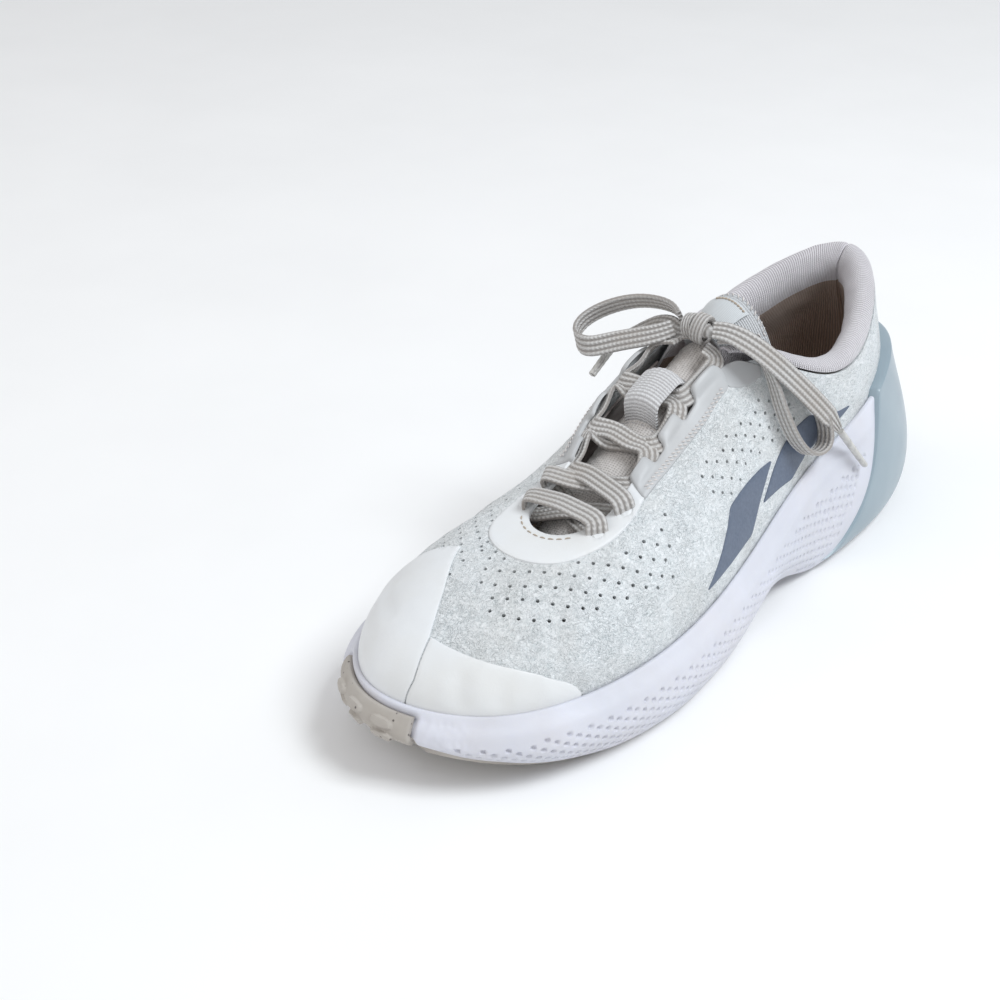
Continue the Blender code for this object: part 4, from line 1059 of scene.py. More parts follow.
def make_side_marks():
    """Two plain slanted bars printed on the outer side."""
    for name, start, width, low, high in SIDE_MARKS:
        lean = MARK_LEAN * (high - low)
        corners = [(start, low), (start + width, low), (start + width + lean, high), (start + lean, high)]
        outline = rounded(corners, 1.5 * MM, UPPER_SCALE)
        piece = panel(
            name + "_print", upper_base, outline, 0.45 * MM, 0.0, 1.5 * MM, UPPER_SCALE,
            edge=0.25 * MM, relief=body_relief,
        )
        place(piece, SLATE, "slate_mark", name)


# The collar's section from its outer seam over the top and down inside: the height
# along the upper, how far in, and how far above the top line, in millimetres.
COLLAR_START = 4.95
COLLAR_SECTION = [
    (1.0, 0.4, 0.8), (1.0, 0.9, 3.2), (1.0, 4.0, 5.4), (1.0, 8.0, 4.6), (0.985, 11.3, 1.0),
    (0.90, 12.6, 0.0), (0.76, 11.4, 0.0), (0.60, 9.0, 0.0), (0.44, 7.0, 0.0),
    (0.28, 5.6, 0.0), (0.07, 5.0, 0.0),
]


def make_collar():
    columns = np.linspace(COLLAR_START, STATIONS - COLLAR_START, 241)
    fullness = np.interp(np.abs(columns - HEEL), [2.4, HEEL - COLLAR_START], [1.0, 0.45])
    side = outward(columns)
    lines = []
    for t, depth, rise in COLLAR_SECTION:
        reach = np.maximum(depth * fullness, 4.9 if t < 0.98 else 0.4) * MM
        base = upper_base(columns, np.full_like(columns, t))
        lines.append(base - side * reach[:, None] + UP * (rise * fullness * MM)[:, None])
    where = np.linspace(0, len(lines) - 1, 71)
    face = spline(np.stack(lines), where).transpose(1, 0, 2)
    along = np.gradient(face, axis=0)
    down = np.gradient(face, axis=1)
    normal = np.cross(down, along)
    normal /= np.linalg.norm(normal, axis=2, keepdims=True)
    normal *= np.sign(np.sum(normal * UP, axis=2).mean())
    seam = np.exp(-(((columns[:, None] - HEEL) * 30 * MM / (0.9 * MM)) ** 2))
    soft = 0.5 * MM * value_noise(face, 13 * MM, 2) + 0.3 * MM * value_noise(face, 5 * MM, 4)
    fade = smoothstep(0, 2, where) * smoothstep(10, 7, where)
    face += normal * ((soft - 1.3 * MM * seam) * fade)[..., None]
    back = face - normal * 1.0 * MM
    uv = np.stack(
        [
            np.cumsum(np.linalg.norm(along[:, 10], axis=1))[:, None] + 0 * where,
            np.cumsum(np.linalg.norm(down[120], axis=1))[None, :] + 0 * columns[:, None],
        ],
        axis=2,
    )
    piece = slab("padded_collar", face, back, uv=uv)
    place(piece, KNIT, "lining_textile", "collar_lining")
    piece.data.materials.append(TAN_KNIT)
    across = len(where) - 1
    for polygon in piece.data.polygons[: (len(columns) - 1) * across]:
        polygon.material_index = int(where[polygon.index % across] > 5.3)


def make_sockliner():
    """The insole: flat under the foot, turned up a little round its edge."""
    half = np.linspace(0.9, HEEL - 0.5, 91)
    near = UPPER.at(half)[:, :3] * MM
    far = UPPER.at(-half)[:, :3] * MM
    middle = (near + far) / 2
    reach = np.linalg.norm(near - far, axis=1, keepdims=True) / 2
    share = np.linspace(-1, 1, 31)
    edge = 1 - 7.2 * MM / np.maximum(reach, 14 * MM)
    ends = np.minimum(np.arange(91), np.arange(91)[::-1])[:, None] / 10
    edge *= 0.45 + 0.55 * np.sqrt(1 - (1 - np.clip(ends, 0, 1)) ** 2)
    grid = middle[:, None] + (far - near)[:, None] / 2 * edge[:, None] * share[None, :, None]
    level = UPPER.at(np.arange(48) / 3)[:, 2].mean() * MM + 6.3 * MM
    top = grid.copy()
    top[..., 2] = level + 2.2 * MM * smoothstep(0.8, 1.0, np.abs(share))[None, :]
    top[..., 2] += 0.35 * MM * value_noise(top, 18 * MM, 9)
    low = grid.copy()
    low[..., 2] = grid[..., 2] + 1.6 * MM
    piece = slab("insole_pad", top, low)
    place(piece, SOCK, "sockliner_foam", "sockliner")


# ---------------------------------------------------------------- the sole

# The foam's dimples: how far below the lip they start and how the rows slant
DIMPLE_BAND = 6.5 * MM
DIMPLE_SLANT = math.radians(27)
DIMPLE_DEPTH = 1.2 * MM
SOLE_PAD = 2.4 * MM


def foam_top(s):
    """The height on the upper that the foam reaches at each station."""
    share = SOLE.at(s)[:, 7]
    z = wall_base(s, share)[:, 2]
    profile = np.linspace(0, 1, 61)
    found = []
    for station, height in zip(s, z):
        heights = upper_base(np.full_like(profile, station), profile)[:, 2]
        found.append(np.interp(height, heights, profile))
    return share, np.array(found)


def dimple_depth(along, down, depth_of_wall, s):
    """Round cups on a slanted square lattice, kept clear of the lip and the edges."""
    cos, sin = math.cos(DIMPLE_SLANT), math.sin(DIMPLE_SLANT)
    u = (along * cos + down * sin) / DIMPLE_PITCH
    v = (down * cos - along * sin) / DIMPLE_PITCH
    u0, v0 = np.round(u), np.round(v)
    gap = np.hypot(u - u0, v - v0) * DIMPLE_PITCH
    centre_along = (u0 * cos - v0 * sin) * DIMPLE_PITCH
    centre_down = (u0 * sin + v0 * cos) * DIMPLE_PITCH
    station = np.interp(centre_along, along[:, 0], s)
    room = np.interp(centre_along, along[:, 0], depth_of_wall)
    rear = smoothstep(4.5, 6.0, np.minimum(station, STATIONS - station))
    keep = centre_down > DIMPLE_BAND + 5 * MM * rear
    keep &= centre_down < room - 1.8 * MM
    keep &= (station > 0.8) & (station < 14.6)
    rise = np.clip(1 - centre_down / room, 0, 1)
    keep &= np.minimum(station, STATIONS - station) < 5.62 + 0.98 * rise**0.55 - 0.2
    return np.where(keep, DIMPLE_DEPTH * smoothstep(DIMPLE / 2 * 1.15, DIMPLE / 2 * 0.5, gap), 0.0)


def make_midsole():
    """The foam: dimpled side walls with a rolled lip, and a plain underside."""
    columns = np.arange(1120) * STATIONS / 1120
    share, top = foam_top(columns)
    height = np.linspace(0, 0.96, 64)
    s = np.repeat(columns[:, None], len(height), axis=1)
    t = height[None, :] * share[:, None]
    face = wall_base(s, t)
    normal = normal_of(wall_base, s, t)
    length = np.linalg.norm(np.diff(face, axis=1), axis=2)
    down = np.concatenate([np.zeros((len(columns), 1)), np.cumsum(length[:, ::-1], axis=1)], axis=1)
    down = down[:, ::-1]
    ring = face[:, -1]
    around = np.linalg.norm(np.diff(ring, axis=0), axis=1)
    along = np.repeat(np.concatenate([[0], np.cumsum(around)])[:, None], len(height), axis=1)
    cups = dimple_depth(along, down, down[:, 0], columns)
    bulge = 0.9 * MM * np.exp(-(((down - 3 * MM) / (3.0 * MM)) ** 2))
    waves = 0.25 * MM * value_noise(face, 16 * MM, 11)
    wrinkle = value_noise(face * np.array([3.0, 3.0, 0.8]), 5 * MM, 12)
    toe = np.exp(-(((s - 0.85) / 0.22) ** 2)) * smoothstep(0.3, 0.6, height)[None, :]
    middle = np.where(s > HEEL, s - STATIONS, s)
    seat = 2.2 * MM * smoothstep(-1.13, -1.04, middle) * smoothstep(0.58, 0.49, middle)
    seat = seat + 1.2 * MM * smoothstep(6.3, 6.7, np.minimum(s, STATIONS - s))
    bulge = bulge * smoothstep(6.6, 6.2, np.minimum(s, STATIONS - s))
    face = face + normal * (bulge + waves - cups - seat + 0.5 * MM * toe * wrinkle)[..., None]
    lip = [
        upper(columns, top + 0.018, 2.5 * MM),
        upper(columns, top + 0.030, 1.5 * MM),
        upper(columns, top + 0.022, 0.4 * MM),
        upper(columns, np.maximum(top - 0.03, 0.0), -0.5 * MM),
    ]
    lip = spline(np.stack([face[:, -1], *lip]), np.linspace(0, 4, 13)[1:]).transpose(1, 0, 2)
    foot = face[:, 0]
    inward = outward(columns) * 3.0 * MM
    under = np.stack([foot - inward, foot - inward * 0.4 - UP * 0.25 * MM], axis=1)
    grid = np.concatenate([under, face, lip], axis=1)
    side = add_mesh("midsole_wall", grid.reshape(-1, 3), grid_faces(*grid.shape[:2], ring=True))
    place(side, FOAM, "midsole_foam", "midsole")
    half = len(columns) // 2
    near = under[1 : half, 0]
    far = under[:half:-1, 0]
    across = np.linspace(0, 1, 41)[None, :, None]
    plate = near[:, None] * (1 - across) + far[:, None] * across
    plate[..., 2] = ground(plate[..., 1]) + FOAM_RISE
    plate[:, 0], plate[:, -1] = near, far
    base = slab("midsole_underside", plate + UP * 2.0 * MM, plate)
    place(base, FOAM, "midsole_foam")


def make_heel_clip():
    """The moulded plastic shell cupped round the back of the heel."""
    share = np.linspace(0, 1, 49)
    steps = np.linspace(-1, 1, 141)
    lead = 5.62 + 0.98 * share**0.55
    s = 8 + (8 - lead)[None, :] * steps[:, None]
    t = np.repeat((0.03 + 0.97 * share)[None, :], len(steps), axis=0)
    normal = normal_of(wall_base, s, np.minimum(t, 0.98))
    base = wall_base(s, t)
    ends = (1 - np.abs(steps))[:, None] * 60
    rim = np.minimum(ends, np.minimum(share, 1 - share)[None, :] * 50)
    rounded_rim = np.sqrt(1 - (1 - np.clip(rim / 1.6, 0, 1)) ** 2)
    proud = (-0.5 + 1.5 * rounded_rim) * MM
    belly = 1.1 * MM * (1 - steps**2)[:, None] * np.sin(np.pi * share)[None, :]
    front = base + normal * (proud + belly)[..., None]
    back = base - normal * (1.6 + 2.2 * smoothstep(0.7, 1.0, share))[None, :, None] * MM
    piece = slab("heel_shell", front, back)
    place(piece, CLIP, "clip_plastic", "heel_clip")


def make_toe_bumper():
    """The rubber toe wrap, with raised nubs in two rows."""
    s = np.linspace(-1.05, 0.5, 161)
    t = np.linspace(0.06, 0.98, 61)
    s, t = np.meshgrid(s, t, indexing="ij")
    base = wall_base(s, t)
    normal = normal_of(wall_base, s, t)
    rim = np.minimum(np.minimum(s + 1.05, 0.5 - s) * 34, np.minimum(t - 0.06, 0.98 - t) * 30) / 1.2
    lift = (-0.9 + 1.7 * np.sqrt(1 - (1 - np.clip(rim, 0, 1)) ** 2)) * MM
    for row, places in ((0.70, (-0.62, -0.22, 0.18)), (0.38, (-0.60, -0.20, 0.20))):
        for station in places:
            reach = (np.abs((s - station) / 0.13) ** 3 + np.abs((t - row) / 0.11) ** 3) ** (1 / 3)
            lift = lift + 1.3 * MM * smoothstep(1.1, 0.8, reach)
    lift = lift + 0.06 * MM * value_noise(base, 1.4 * MM, 21)
    piece = slab("toe_wrap", base + normal * lift[..., None], base - normal * 1.2 * MM)
    place(piece, RUBBER, "speckled_rubber", "toe_bumper")


def herringbone(x, y):
    """0 on the ribs and 1 in the grooves of a zigzag tread, in metres."""
    zigzag = np.abs(((x / (9 * MM)) % 1) * 2 - 1) * 4.5 * MM
    phase = ((y + zigzag) / (4.2 * MM)) % 1
    return smoothstep(0.52, 0.62, phase) * smoothstep(1.0, 0.90, phase)


def sole_plate(name, start, end, inset_by, low, high, count, across, relief):
    """A plate under the sole between two stations and their partners opposite."""
    columns = np.linspace(start, end, count)
    near = SOLE.at(columns)[:, :2] * MM
    far = SOLE.at(-columns)[:, :2] * MM
    middle = (near + far) / 2
    reach = np.linalg.norm(near - far, axis=1, keepdims=True) / 2
    near = middle + (near - middle) * (1 - inset_by / reach)
    far = middle + (far - middle) * (1 - inset_by / reach)
    share = np.linspace(0, 1, across)[None, :, None]
    flat = near[:, None] * (1 - share) + far[:, None] * share
    level = ground(flat[..., 1])
    edge = np.minimum(np.minimum(share[..., 0], 1 - share[..., 0]) * across, 3) / 3
    end_edge = np.minimum(np.minimum(np.arange(count), np.arange(count)[::-1]), 3)[:, None] / 3
    groove = relief(flat[..., 0], flat[..., 1]) * (edge >= 1) * (end_edge >= 1)
    bottom = np.dstack([flat, level + low + 1.3 * MM * groove])
    top = np.dstack([flat, level + high])
    return slab(name, top, bottom)


def make_outsole():
    forefoot = sole_plate(
        "forefoot_tread", 0.7, 3.75, 3.5 * MM, 0.0, SOLE_PAD + 0.6 * MM, 151, 121, herringbone
    )
    place(forefoot, RUBBER, "speckled_rubber", "outsole_forefoot")
    heel = sole_plate(
        "heel_tread", 5.78, 7.6, 4.5 * MM, 0.0, SOLE_PAD + 0.6 * MM, 101, 101, herringbone
    )
    place(heel, RUBBER, "speckled_rubber", "outsole_heel")
    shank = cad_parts["midfoot_shank"]
    shank.data.materials.clear()
    shank.data.materials.append(SHANK)


# ---------------------------------------------------------------- the tongue

# Rows up the tongue in millimetres: the middle of its top face (x, y, z), half its
# width, and how far its edges drop.
TONGUE_ROWS = [
    (4, -64, 53.0, 14, 5),
    (4, -50, 60.0, 18, 9),
    (4, -30, 70.0, 20, 14),
    (3, -8, 80.5, 20, 19),
    (2, 12, 89.0, 18, 21),
    (1.5, 24, 95.0, 16, 21),
]
TONGUE_TOP_ROWS = [
    (1, 26, 98.0, 9.5, 6.5),
    (1.5, 33, 104.0, 13.5, 11),
    (2.5, 39.5, 108.0, 16.5, 16),
    (3.5, 44.5, 109.0, 18, 18.5),
]
KEEPER_X = 2.5
KEEPER_Y = -3.0
KEEPER_HALF = 7.0
KEEPER_RISE = 9.8


def tongue_surface(rows, along, across):
    """Points, normals and metres on the face: along runs over rows, across from -1 to 1."""
    dense = spline(rows, along)
    x, y, z, half, drop = (dense[:, k][:, None] for k in range(5))
    u = across[None, :]
    face = np.stack([x - half * u, y + 0 * u, z - drop * u * u], axis=2) * MM
    up = np.cross(np.gradient(face, axis=1), np.gradient(face, axis=0))
    up /= np.linalg.norm(up, axis=2, keepdims=True)
    up *= np.sign(up[..., 2:3])
    step_up = np.linalg.norm(np.diff(face, axis=0), axis=2).mean(axis=1)
    far = np.concatenate([[0], np.cumsum(step_up)])
    uv = np.stack([half * u * MM + 0 * far[:, None], far[:, None] + 0 * u], axis=2)
    return face, up, uv


def make_tongue():
    along = np.linspace(0, len(TONGUE_ROWS) - 1, 131)
    across = np.linspace(-1, 1, 61)
    face, up, uv = tongue_surface(TONGUE_ROWS, along, across)
    rim = np.sqrt(1 - (1 - np.clip((1 - np.abs(across)) * 12, 0, 1)) ** 2)[None, :, None]
    soft = 0.35 * MM * value_noise(face, 14 * MM, 31)[..., None]
    outer = face + up * (soft - (1 - rim) * 2.2 * MM - 0.4 * MM)
    body = slab("tongue_body", outer, face - up * TONGUE_THICK * (0.55 + 0.45 * rim), uv=uv)
    place(body, BINDING, "tongue_mesh", "tongue", body="tongue_flap")
    across = np.linspace(-0.66, 0.66, 61)
    face, up, uv = tongue_surface(TONGUE_ROWS, np.linspace(0, len(TONGUE_ROWS) - 1, 141), across)
    cells = np.sin(uv[..., 0] * 2 * math.pi / (3.4 * MM)) * np.sin(uv[..., 1] * 2 * math.pi / (3.4 * MM))
    rim = np.sqrt(1 - (1 - np.clip((0.66 - np.abs(across)) * 16, 0, 1)) ** 2)[None, :]
    lift = (0.1 + 0.9 * rim) * MM + 0.16 * MM * cells * rim + 0.35 * MM * value_noise(face, 14 * MM, 31)
    piece = slab("tongue_waffle", face + up * lift[..., None], face - up * 1.0 * MM, uv=uv)
    place(piece, WAFFLE, "tongue_mesh", body="tongue_flap")


def make_tongue_top():
    """The padded top of the tongue with its stitched rim, blank label and edge line."""
    along = np.linspace(0, len(TONGUE_TOP_ROWS) - 1, 61)
    across = np.linspace(-1, 1, 61)
    face, up, uv = tongue_surface(TONGUE_TOP_ROWS, along, across)
    share = along[:, None] / along[-1]
    edge = np.minimum((1 - np.abs(across))[None, :] * 6, (1 - share) * 5)
    edge = np.clip(edge, 0, 1)
    rim = np.sqrt(1 - (1 - edge) ** 2)
    welt = 0.9 * MM * np.exp(-(((edge - 0.75) / 0.22) ** 2))
    lift = -0.6 * MM - 2.6 * MM * (1 - rim) + welt + 0.25 * MM * value_noise(face, 7 * MM, 41)
    thick = np.interp(share, [0, 0.33, 0.67, 1], [6.5, 9.0, 10.0, 7.5]) * MM
    back = face - up * (thick * (0.6 + 0.4 * rim))[..., None]
    piece = slab("tongue_pad", face + up * lift[..., None], back, uv=uv)
    place(piece, RIM_KNIT, "tongue_mesh", "tongue_top_pad", body="tongue_flap")
    face, up, uv = tongue_surface(TONGUE_TOP_ROWS, np.linspace(0.05, 2.0, 41), np.linspace(-0.5, 0.5, 41))
    bend = 0.15 * MM * value_noise(face, 6 * MM, 43)[..., None]
    label = slab("blank_label", face + up * (0.75 * MM + bend), face - up * 0.2 * MM, uv=uv)
    place(label, SATIN, "label_satin", "tongue_label", body="tongue_flap")
    face, up, _ = tongue_surface(TONGUE_TOP_ROWS, np.array([1.85, 1.85 + 1e-3]), np.linspace(-0.45, 0.3, 24))
    bar = stitch_mesh(
        "label_edge_line", face[0] + up[0] * 1.0 * MM, up[0],
        length=1.3 * MM, gap=0.1 * MM, width=0.9 * MM,
    )
    place(bar, TAN_THREAD, "label_satin", body="tongue_flap")
    around = np.concatenate([
        np.stack([np.linspace(0.4, 2.5, 30), np.full(30, -0.82)], axis=1),
        np.stack([np.full(30, 2.55), np.linspace(-0.78, 0.78, 30)], axis=1),
        np.stack([np.linspace(2.5, 0.4, 30), np.full(30, 0.82)], axis=1),
    ])
    line, ups = [], []
    for row, u in around:
        rows, shares = np.array([row, row + 1e-3]), np.array([u, u + 1e-3])
        spot, normal, _ = tongue_surface(TONGUE_TOP_ROWS, rows, shares)
        line.append(spot[0, 0] + normal[0, 0] * 0.15 * MM)
        ups.append(normal[0, 0])
    dense, where = smooth_path(line, 0.4 * MM)
    zigzag = stitch_mesh(
        "rim_zigzag", dense, spline(ups, where),
        length=2.0 * MM, gap=0.3 * MM, width=0.6 * MM, slant=0.9,
    )
    place(zigzag, PALE_THREAD, "tongue_mesh", body="tongue_flap")


def tongue_height(x, y):
    """The height of the tongue's top face, in millimetres."""
    rows = np.array(TONGUE_ROWS)
    centre, z, half, drop = (np.interp(y, rows[:, 1], rows[:, k]) for k in (0, 2, 3, 4))
    return z - drop * ((x - centre) / half) ** 2


def make_keeper():
    """The webbing loop sewn across the tongue, arched over the lace."""
    half_arch = [(11.8, 0.06), (9.3, 0.07), (7.3, 0.8), (3, 1)]
    arch = [(-along, share) for along, share in half_arch] + half_arch[::-1]
    lines = []
    for along, share in arch:
        y = KEEPER_Y + along
        rise = KEEPER_RISE * share
        line = []
        for u in np.linspace(-1, 1, 33):
            x = KEEPER_X + KEEPER_HALF * u
            line.append((x, y - 0.4 * rise, tongue_height(x, y) + 0.92 * rise))
        lines.append(line)
    low = spline(np.array(lines) * MM, np.linspace(0, len(arch) - 1, 71))
    up = np.cross(np.gradient(low, axis=1), np.gradient(low, axis=0))
    up /= np.linalg.norm(up, axis=2, keepdims=True)
    up *= np.sign(up[..., 2:3].mean())
    ribs = 0.12 * MM * np.sin(np.linspace(0, 14 * math.pi, 33))[None, :, None]
    far = np.concatenate([[0], np.cumsum(np.linalg.norm(np.diff(low[:, 16], axis=0), axis=1))])
    across = np.linspace(-KEEPER_HALF, KEEPER_HALF, 33) * MM
    uv = np.stack([across[None, :] + 0 * far[:, None], far[:, None] + 0 * across[None, :]], axis=2)
    piece = slab("webbing_keeper", low + up * (1.0 * MM + ribs), low, uv=uv)
    place(piece, WEBBING, "webbing", "lace_keeper", body="tongue_flap")


# ---------------------------------------------------------------- the lace


def on_upper(side, s, t, lift):
    """A point off the upper: side is 1 on the outer side and -1 on the inner."""
    return upper([side * s], [t], lift * MM)[0]


def skin_up(side, s, t):
    """The direction off the upper's face, and the direction up towards its top."""
    spot = np.array([side * s]), np.array([t])
    rise = upper_base(spot[0], spot[1] + 0.01)[0] - upper_base(spot[0], spot[1] - 0.01)[0]
    return normal_of(upper_base, *spot)[0], rise / np.linalg.norm(rise)


def behind_tooth(side, number, upwards):
    """The lace slips into a notch, passes under the tooth and comes up."""
    start, end = TEETH[number]
    places = ((start - 0.12, 0.985, -0.6), ((start + end) / 2, 0.95, -1.6), (end + 0.12, 0.985, -0.6))
    route = [(on_upper(side, s, t, lift), skin_up(side, s, t)[0]) for s, t, lift in places]
    return route if upwards else route[::-1]


def through_eyelet(side, number, downwards):
    s, t = EYELETS[number]
    off, rise = skin_up(side, s, t)
    route = [
        (on_upper(side, s, t + 0.03, 4.4), off),
        (on_upper(side, s, t, 1.0), -rise),
        (on_upper(side, s, t + 0.02, -4.0), -off),
    ]
    return route if downwards else route[::-1]


# How far each strand that crosses the tongue bows up or down, in millimetres
CROSSINGS = {3: -1.6, 6: 1.6, 9: -1.2, 12: -1.5, 15: 2.0, 18: 1.5, 21: 1.6, 24: -1.5, 27: 1.1}


def threaded_route():
    """The lace from the knot through the eyestays and back: points and face directions."""
    knots = [(np.array([x, 17.0, 98.0]) * MM, UP) for x in (7.5, -3.5)]
    joined = [
        knots[0],
        *behind_tooth(1, 2, False),
        *behind_tooth(-1, 1, False),
        *behind_tooth(1, 0, False),
        *through_eyelet(-1, 1, True),
        *through_eyelet(1, 0, False),
        *through_eyelet(-1, 0, True),
        *through_eyelet(1, 1, False),
        *behind_tooth(-1, 0, True),
        *behind_tooth(1, 1, True),
        *behind_tooth(-1, 2, True),
        knots[1],
    ]
    points, faces = [], []
    for index, (point, up) in enumerate(joined):
        points.append(point)
        faces.append(up)
        if index not in CROSSINGS:
            continue
        end, end_up = joined[index + 1]
        for f in (0.25, 0.5, 0.75):
            middle = point + (end - point) * f
            floor = (tongue_height(middle[0] / MM, middle[1] / MM) + 1.5) * MM
            middle[2] = max(middle[2] + CROSSINGS[index] * MM * math.sin(math.pi * f), floor)
            points.append(middle)
            faces.append(up * (1 - f) + end_up * f)
    return np.array(points), np.array(faces)


def lace_section():
    """The flat lace's cross-section: four ribs across, rounded edges, in metres."""
    points = []
    for side in (1, -1):
        for share in np.linspace(-0.96, 0.96, 17) * side:
            rib = 0.72 + 0.28 * abs(math.sin(2 * math.pi * share))
            height = side * 0.5 * LACE_THICK * math.sqrt(1 - abs(share) ** 6) * rib
            points.append((0.5 * LACE_WIDTH * share, height))
    return np.array(points)


SECTION = lace_section()


def ribbon(name, points, axes, spacing=0.7 * MM, widths=((0, 1), (1, 1))):
    """The flat lace along a smooth path. Axes point across its width at each point.

    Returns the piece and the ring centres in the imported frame."""
    path, where = smooth_path(points, spacing)
    tangent = np.gradient(path, axis=0)
    tangent /= np.linalg.norm(tangent, axis=1, keepdims=True)
    across = spline(axes, where)
    for _ in range(2):
        for k in range(1, len(across)):
            if across[k] @ across[k - 1] < 0:
                across[k] = -across[k]
        window = np.hanning(11) / np.hanning(11).sum()
        padded = np.concatenate([across[:1].repeat(5, 0), across, across[-1:].repeat(5, 0)])
        across = np.stack([np.convolve(padded[:, k], window, "valid") for k in range(3)], axis=1)
        across -= tangent * np.sum(across * tangent, axis=1, keepdims=True)
        across /= np.linalg.norm(across, axis=1, keepdims=True)
    up = np.cross(across, tangent)
    travel = np.concatenate([[0], np.cumsum(np.linalg.norm(np.diff(path, axis=0), axis=1))])
    share = travel / travel[-1]
    width = np.interp(share, *np.array(widths).T)[:, None, None]
    dash = 1 + 0.10 * np.sin(
        travel[:, None] * 2 * math.pi / (2.4 * MM)
        + 6 * np.abs(SECTION[None, :, 0]) / LACE_WIDTH * 2 * math.pi
    )
    thick = (SECTION[None, :, 1] * dash)[..., None] * (1 + 0.35 * (1 - width))
    rings = path[:, None] + across[:, None] * SECTION[None, :, :1] * width + up[:, None] * thick
    count, around = rings.shape[:2]
    faces = []
    i = np.arange(count - 1)[:, None]
    k = np.arange(around)[None, :]
    a, b = i * around + k, i * around + (k + 1) % around
    faces = np.stack([a, b, b + around, a + around], axis=-1).reshape(-1, 4).tolist()
    faces.append(list(range(around))[::-1])
    faces.append([(count - 1) * around + k for k in range(around)])
    uv = np.zeros((count, around, 2))
    uv[..., 0] = SECTION[None, :, 0]
    uv[..., 1] = travel[:, None]
    piece = add_mesh(name, rings.reshape(-1, 3), faces, uv.reshape(-1, 2), angle=75)
    return piece, path + SHIFT


def facing(points, direction):
    """Width axes that turn the lace's flat face towards a direction."""
    tangent = np.gradient(np.array(points, float), axis=0)
    return np.cross(tangent / np.linalg.norm(tangent, axis=1, keepdims=True), direction)


def standing(points, *keys):
    """Width axes blended between (share of the points, axis) keys."""
    share = np.linspace(0, 1, len(points))
    places = [key[0] for key in keys]
    return np.stack([np.interp(share, places, [key[1][k] for key in keys]) for k in range(3)], axis=1)


# The free stretches of the lace, in millimetres
BOW_LEFT = [
    (-7, 22.5, 104), (-14, 26.8, 104.5), (-24, 26.6, 104), (-33, 23, 102), (-41, 18, 98),
    (-44.5, 11.5, 94), (-42, 6, 91), (-35, 4.3, 90.5), (-26, 8.5, 93.5), (-13.5, 13, 98.3),
    (-7.5, 18.5, 101),
]
BOW_RIGHT = [
    (10.5, 20.5, 101), (16.5, 25, 100), (24.5, 31, 91.5), (31, 31.5, 79.5), (36.5, 33.4, 66.5),
    (40, 38.5, 58), (41, 45.5, 54.5), (40.8, 52, 56.5), (39, 51, 67), (34.5, 44, 80),
    (28, 37, 91), (18.5, 30.5, 99.5), (10, 24.5, 103.5),
]
END_LEFT = [
    (2, 21.5, 102.5), (-6.5, 21.5, 98.6), (-13, 24, 98.5), (-20, 24.9, 96.5),
    (-25.4, 23, 93), (-31.4, 17.4, 89.2), (-31.3, 9, 85), (-31.2, 1.5, 80.8),
]
END_RIGHT = [
    (10, 18.5, 105.3), (17, 20.5, 105), (27, 26.5, 98), (36, 37.5, 84), (41.5, 50, 69),
    (43, 57, 60.5),
]
# Their lengths, in metres
BOW_LEFT_LENGTH = 0.095
BOW_RIGHT_LENGTH = 0.141
END_LEFT_LENGTH = 0.058
END_RIGHT_LENGTH = 0.073
AGLETS = {
    "left": ((-31.5, 16.6, 88.8), (-31.2, 1.5, 80.8)),
    "right": ((43.2, 58, 59.3), (46.5, 75, 38)),
}


def make_aglet(name, ends):
    """A film tip: a slim tube flattened a little, with a rolled seam and open end."""
    start, end = (np.array(point) * MM for point in ends)
    along = (end - start) / np.linalg.norm(end - start)
    side = np.cross(along, UP)
    side /= np.linalg.norm(side)
    up = np.cross(side, along)
    rings = []
    for share in np.concatenate([[0, 0.01, 0.03], np.linspace(0.06, 0.94, 30), [0.98, 1.0]]):
        radius = 1.6 - 0.25 * share - 0.25 * (share < 0.005) - 0.3 * (share > 0.99)
        turn = np.linspace(0, 2 * math.pi, 25)[:-1]
        swell = 1 + 0.03 * np.sin(share * 40 + 2 * turn)
        ring = start + along * share * np.linalg.norm(end - start)
        ring = ring + (radius * MM * swell)[:, None] * (
            np.cos(turn)[:, None] * side * 1.1 + np.sin(turn)[:, None] * up * 0.85
        )
        rings.append(ring)
    rings = np.array(rings)
    count, around = rings.shape[:2]
    faces = grid_faces(count, around)
    faces += [[k * around + around - 1, k * around, (k + 1) * around, (k + 1) * around + around - 1]
              for k in range(count - 1)]
    faces += [list(range(around))[::-1], [(count - 1) * around + k for k in range(around)]]
    piece = add_mesh(f"lace_tip_{name}", rings.reshape(-1, 3), faces, angle=40)
    place(piece, FILM, "aglet_plastic", f"aglet_{name}")
    return piece


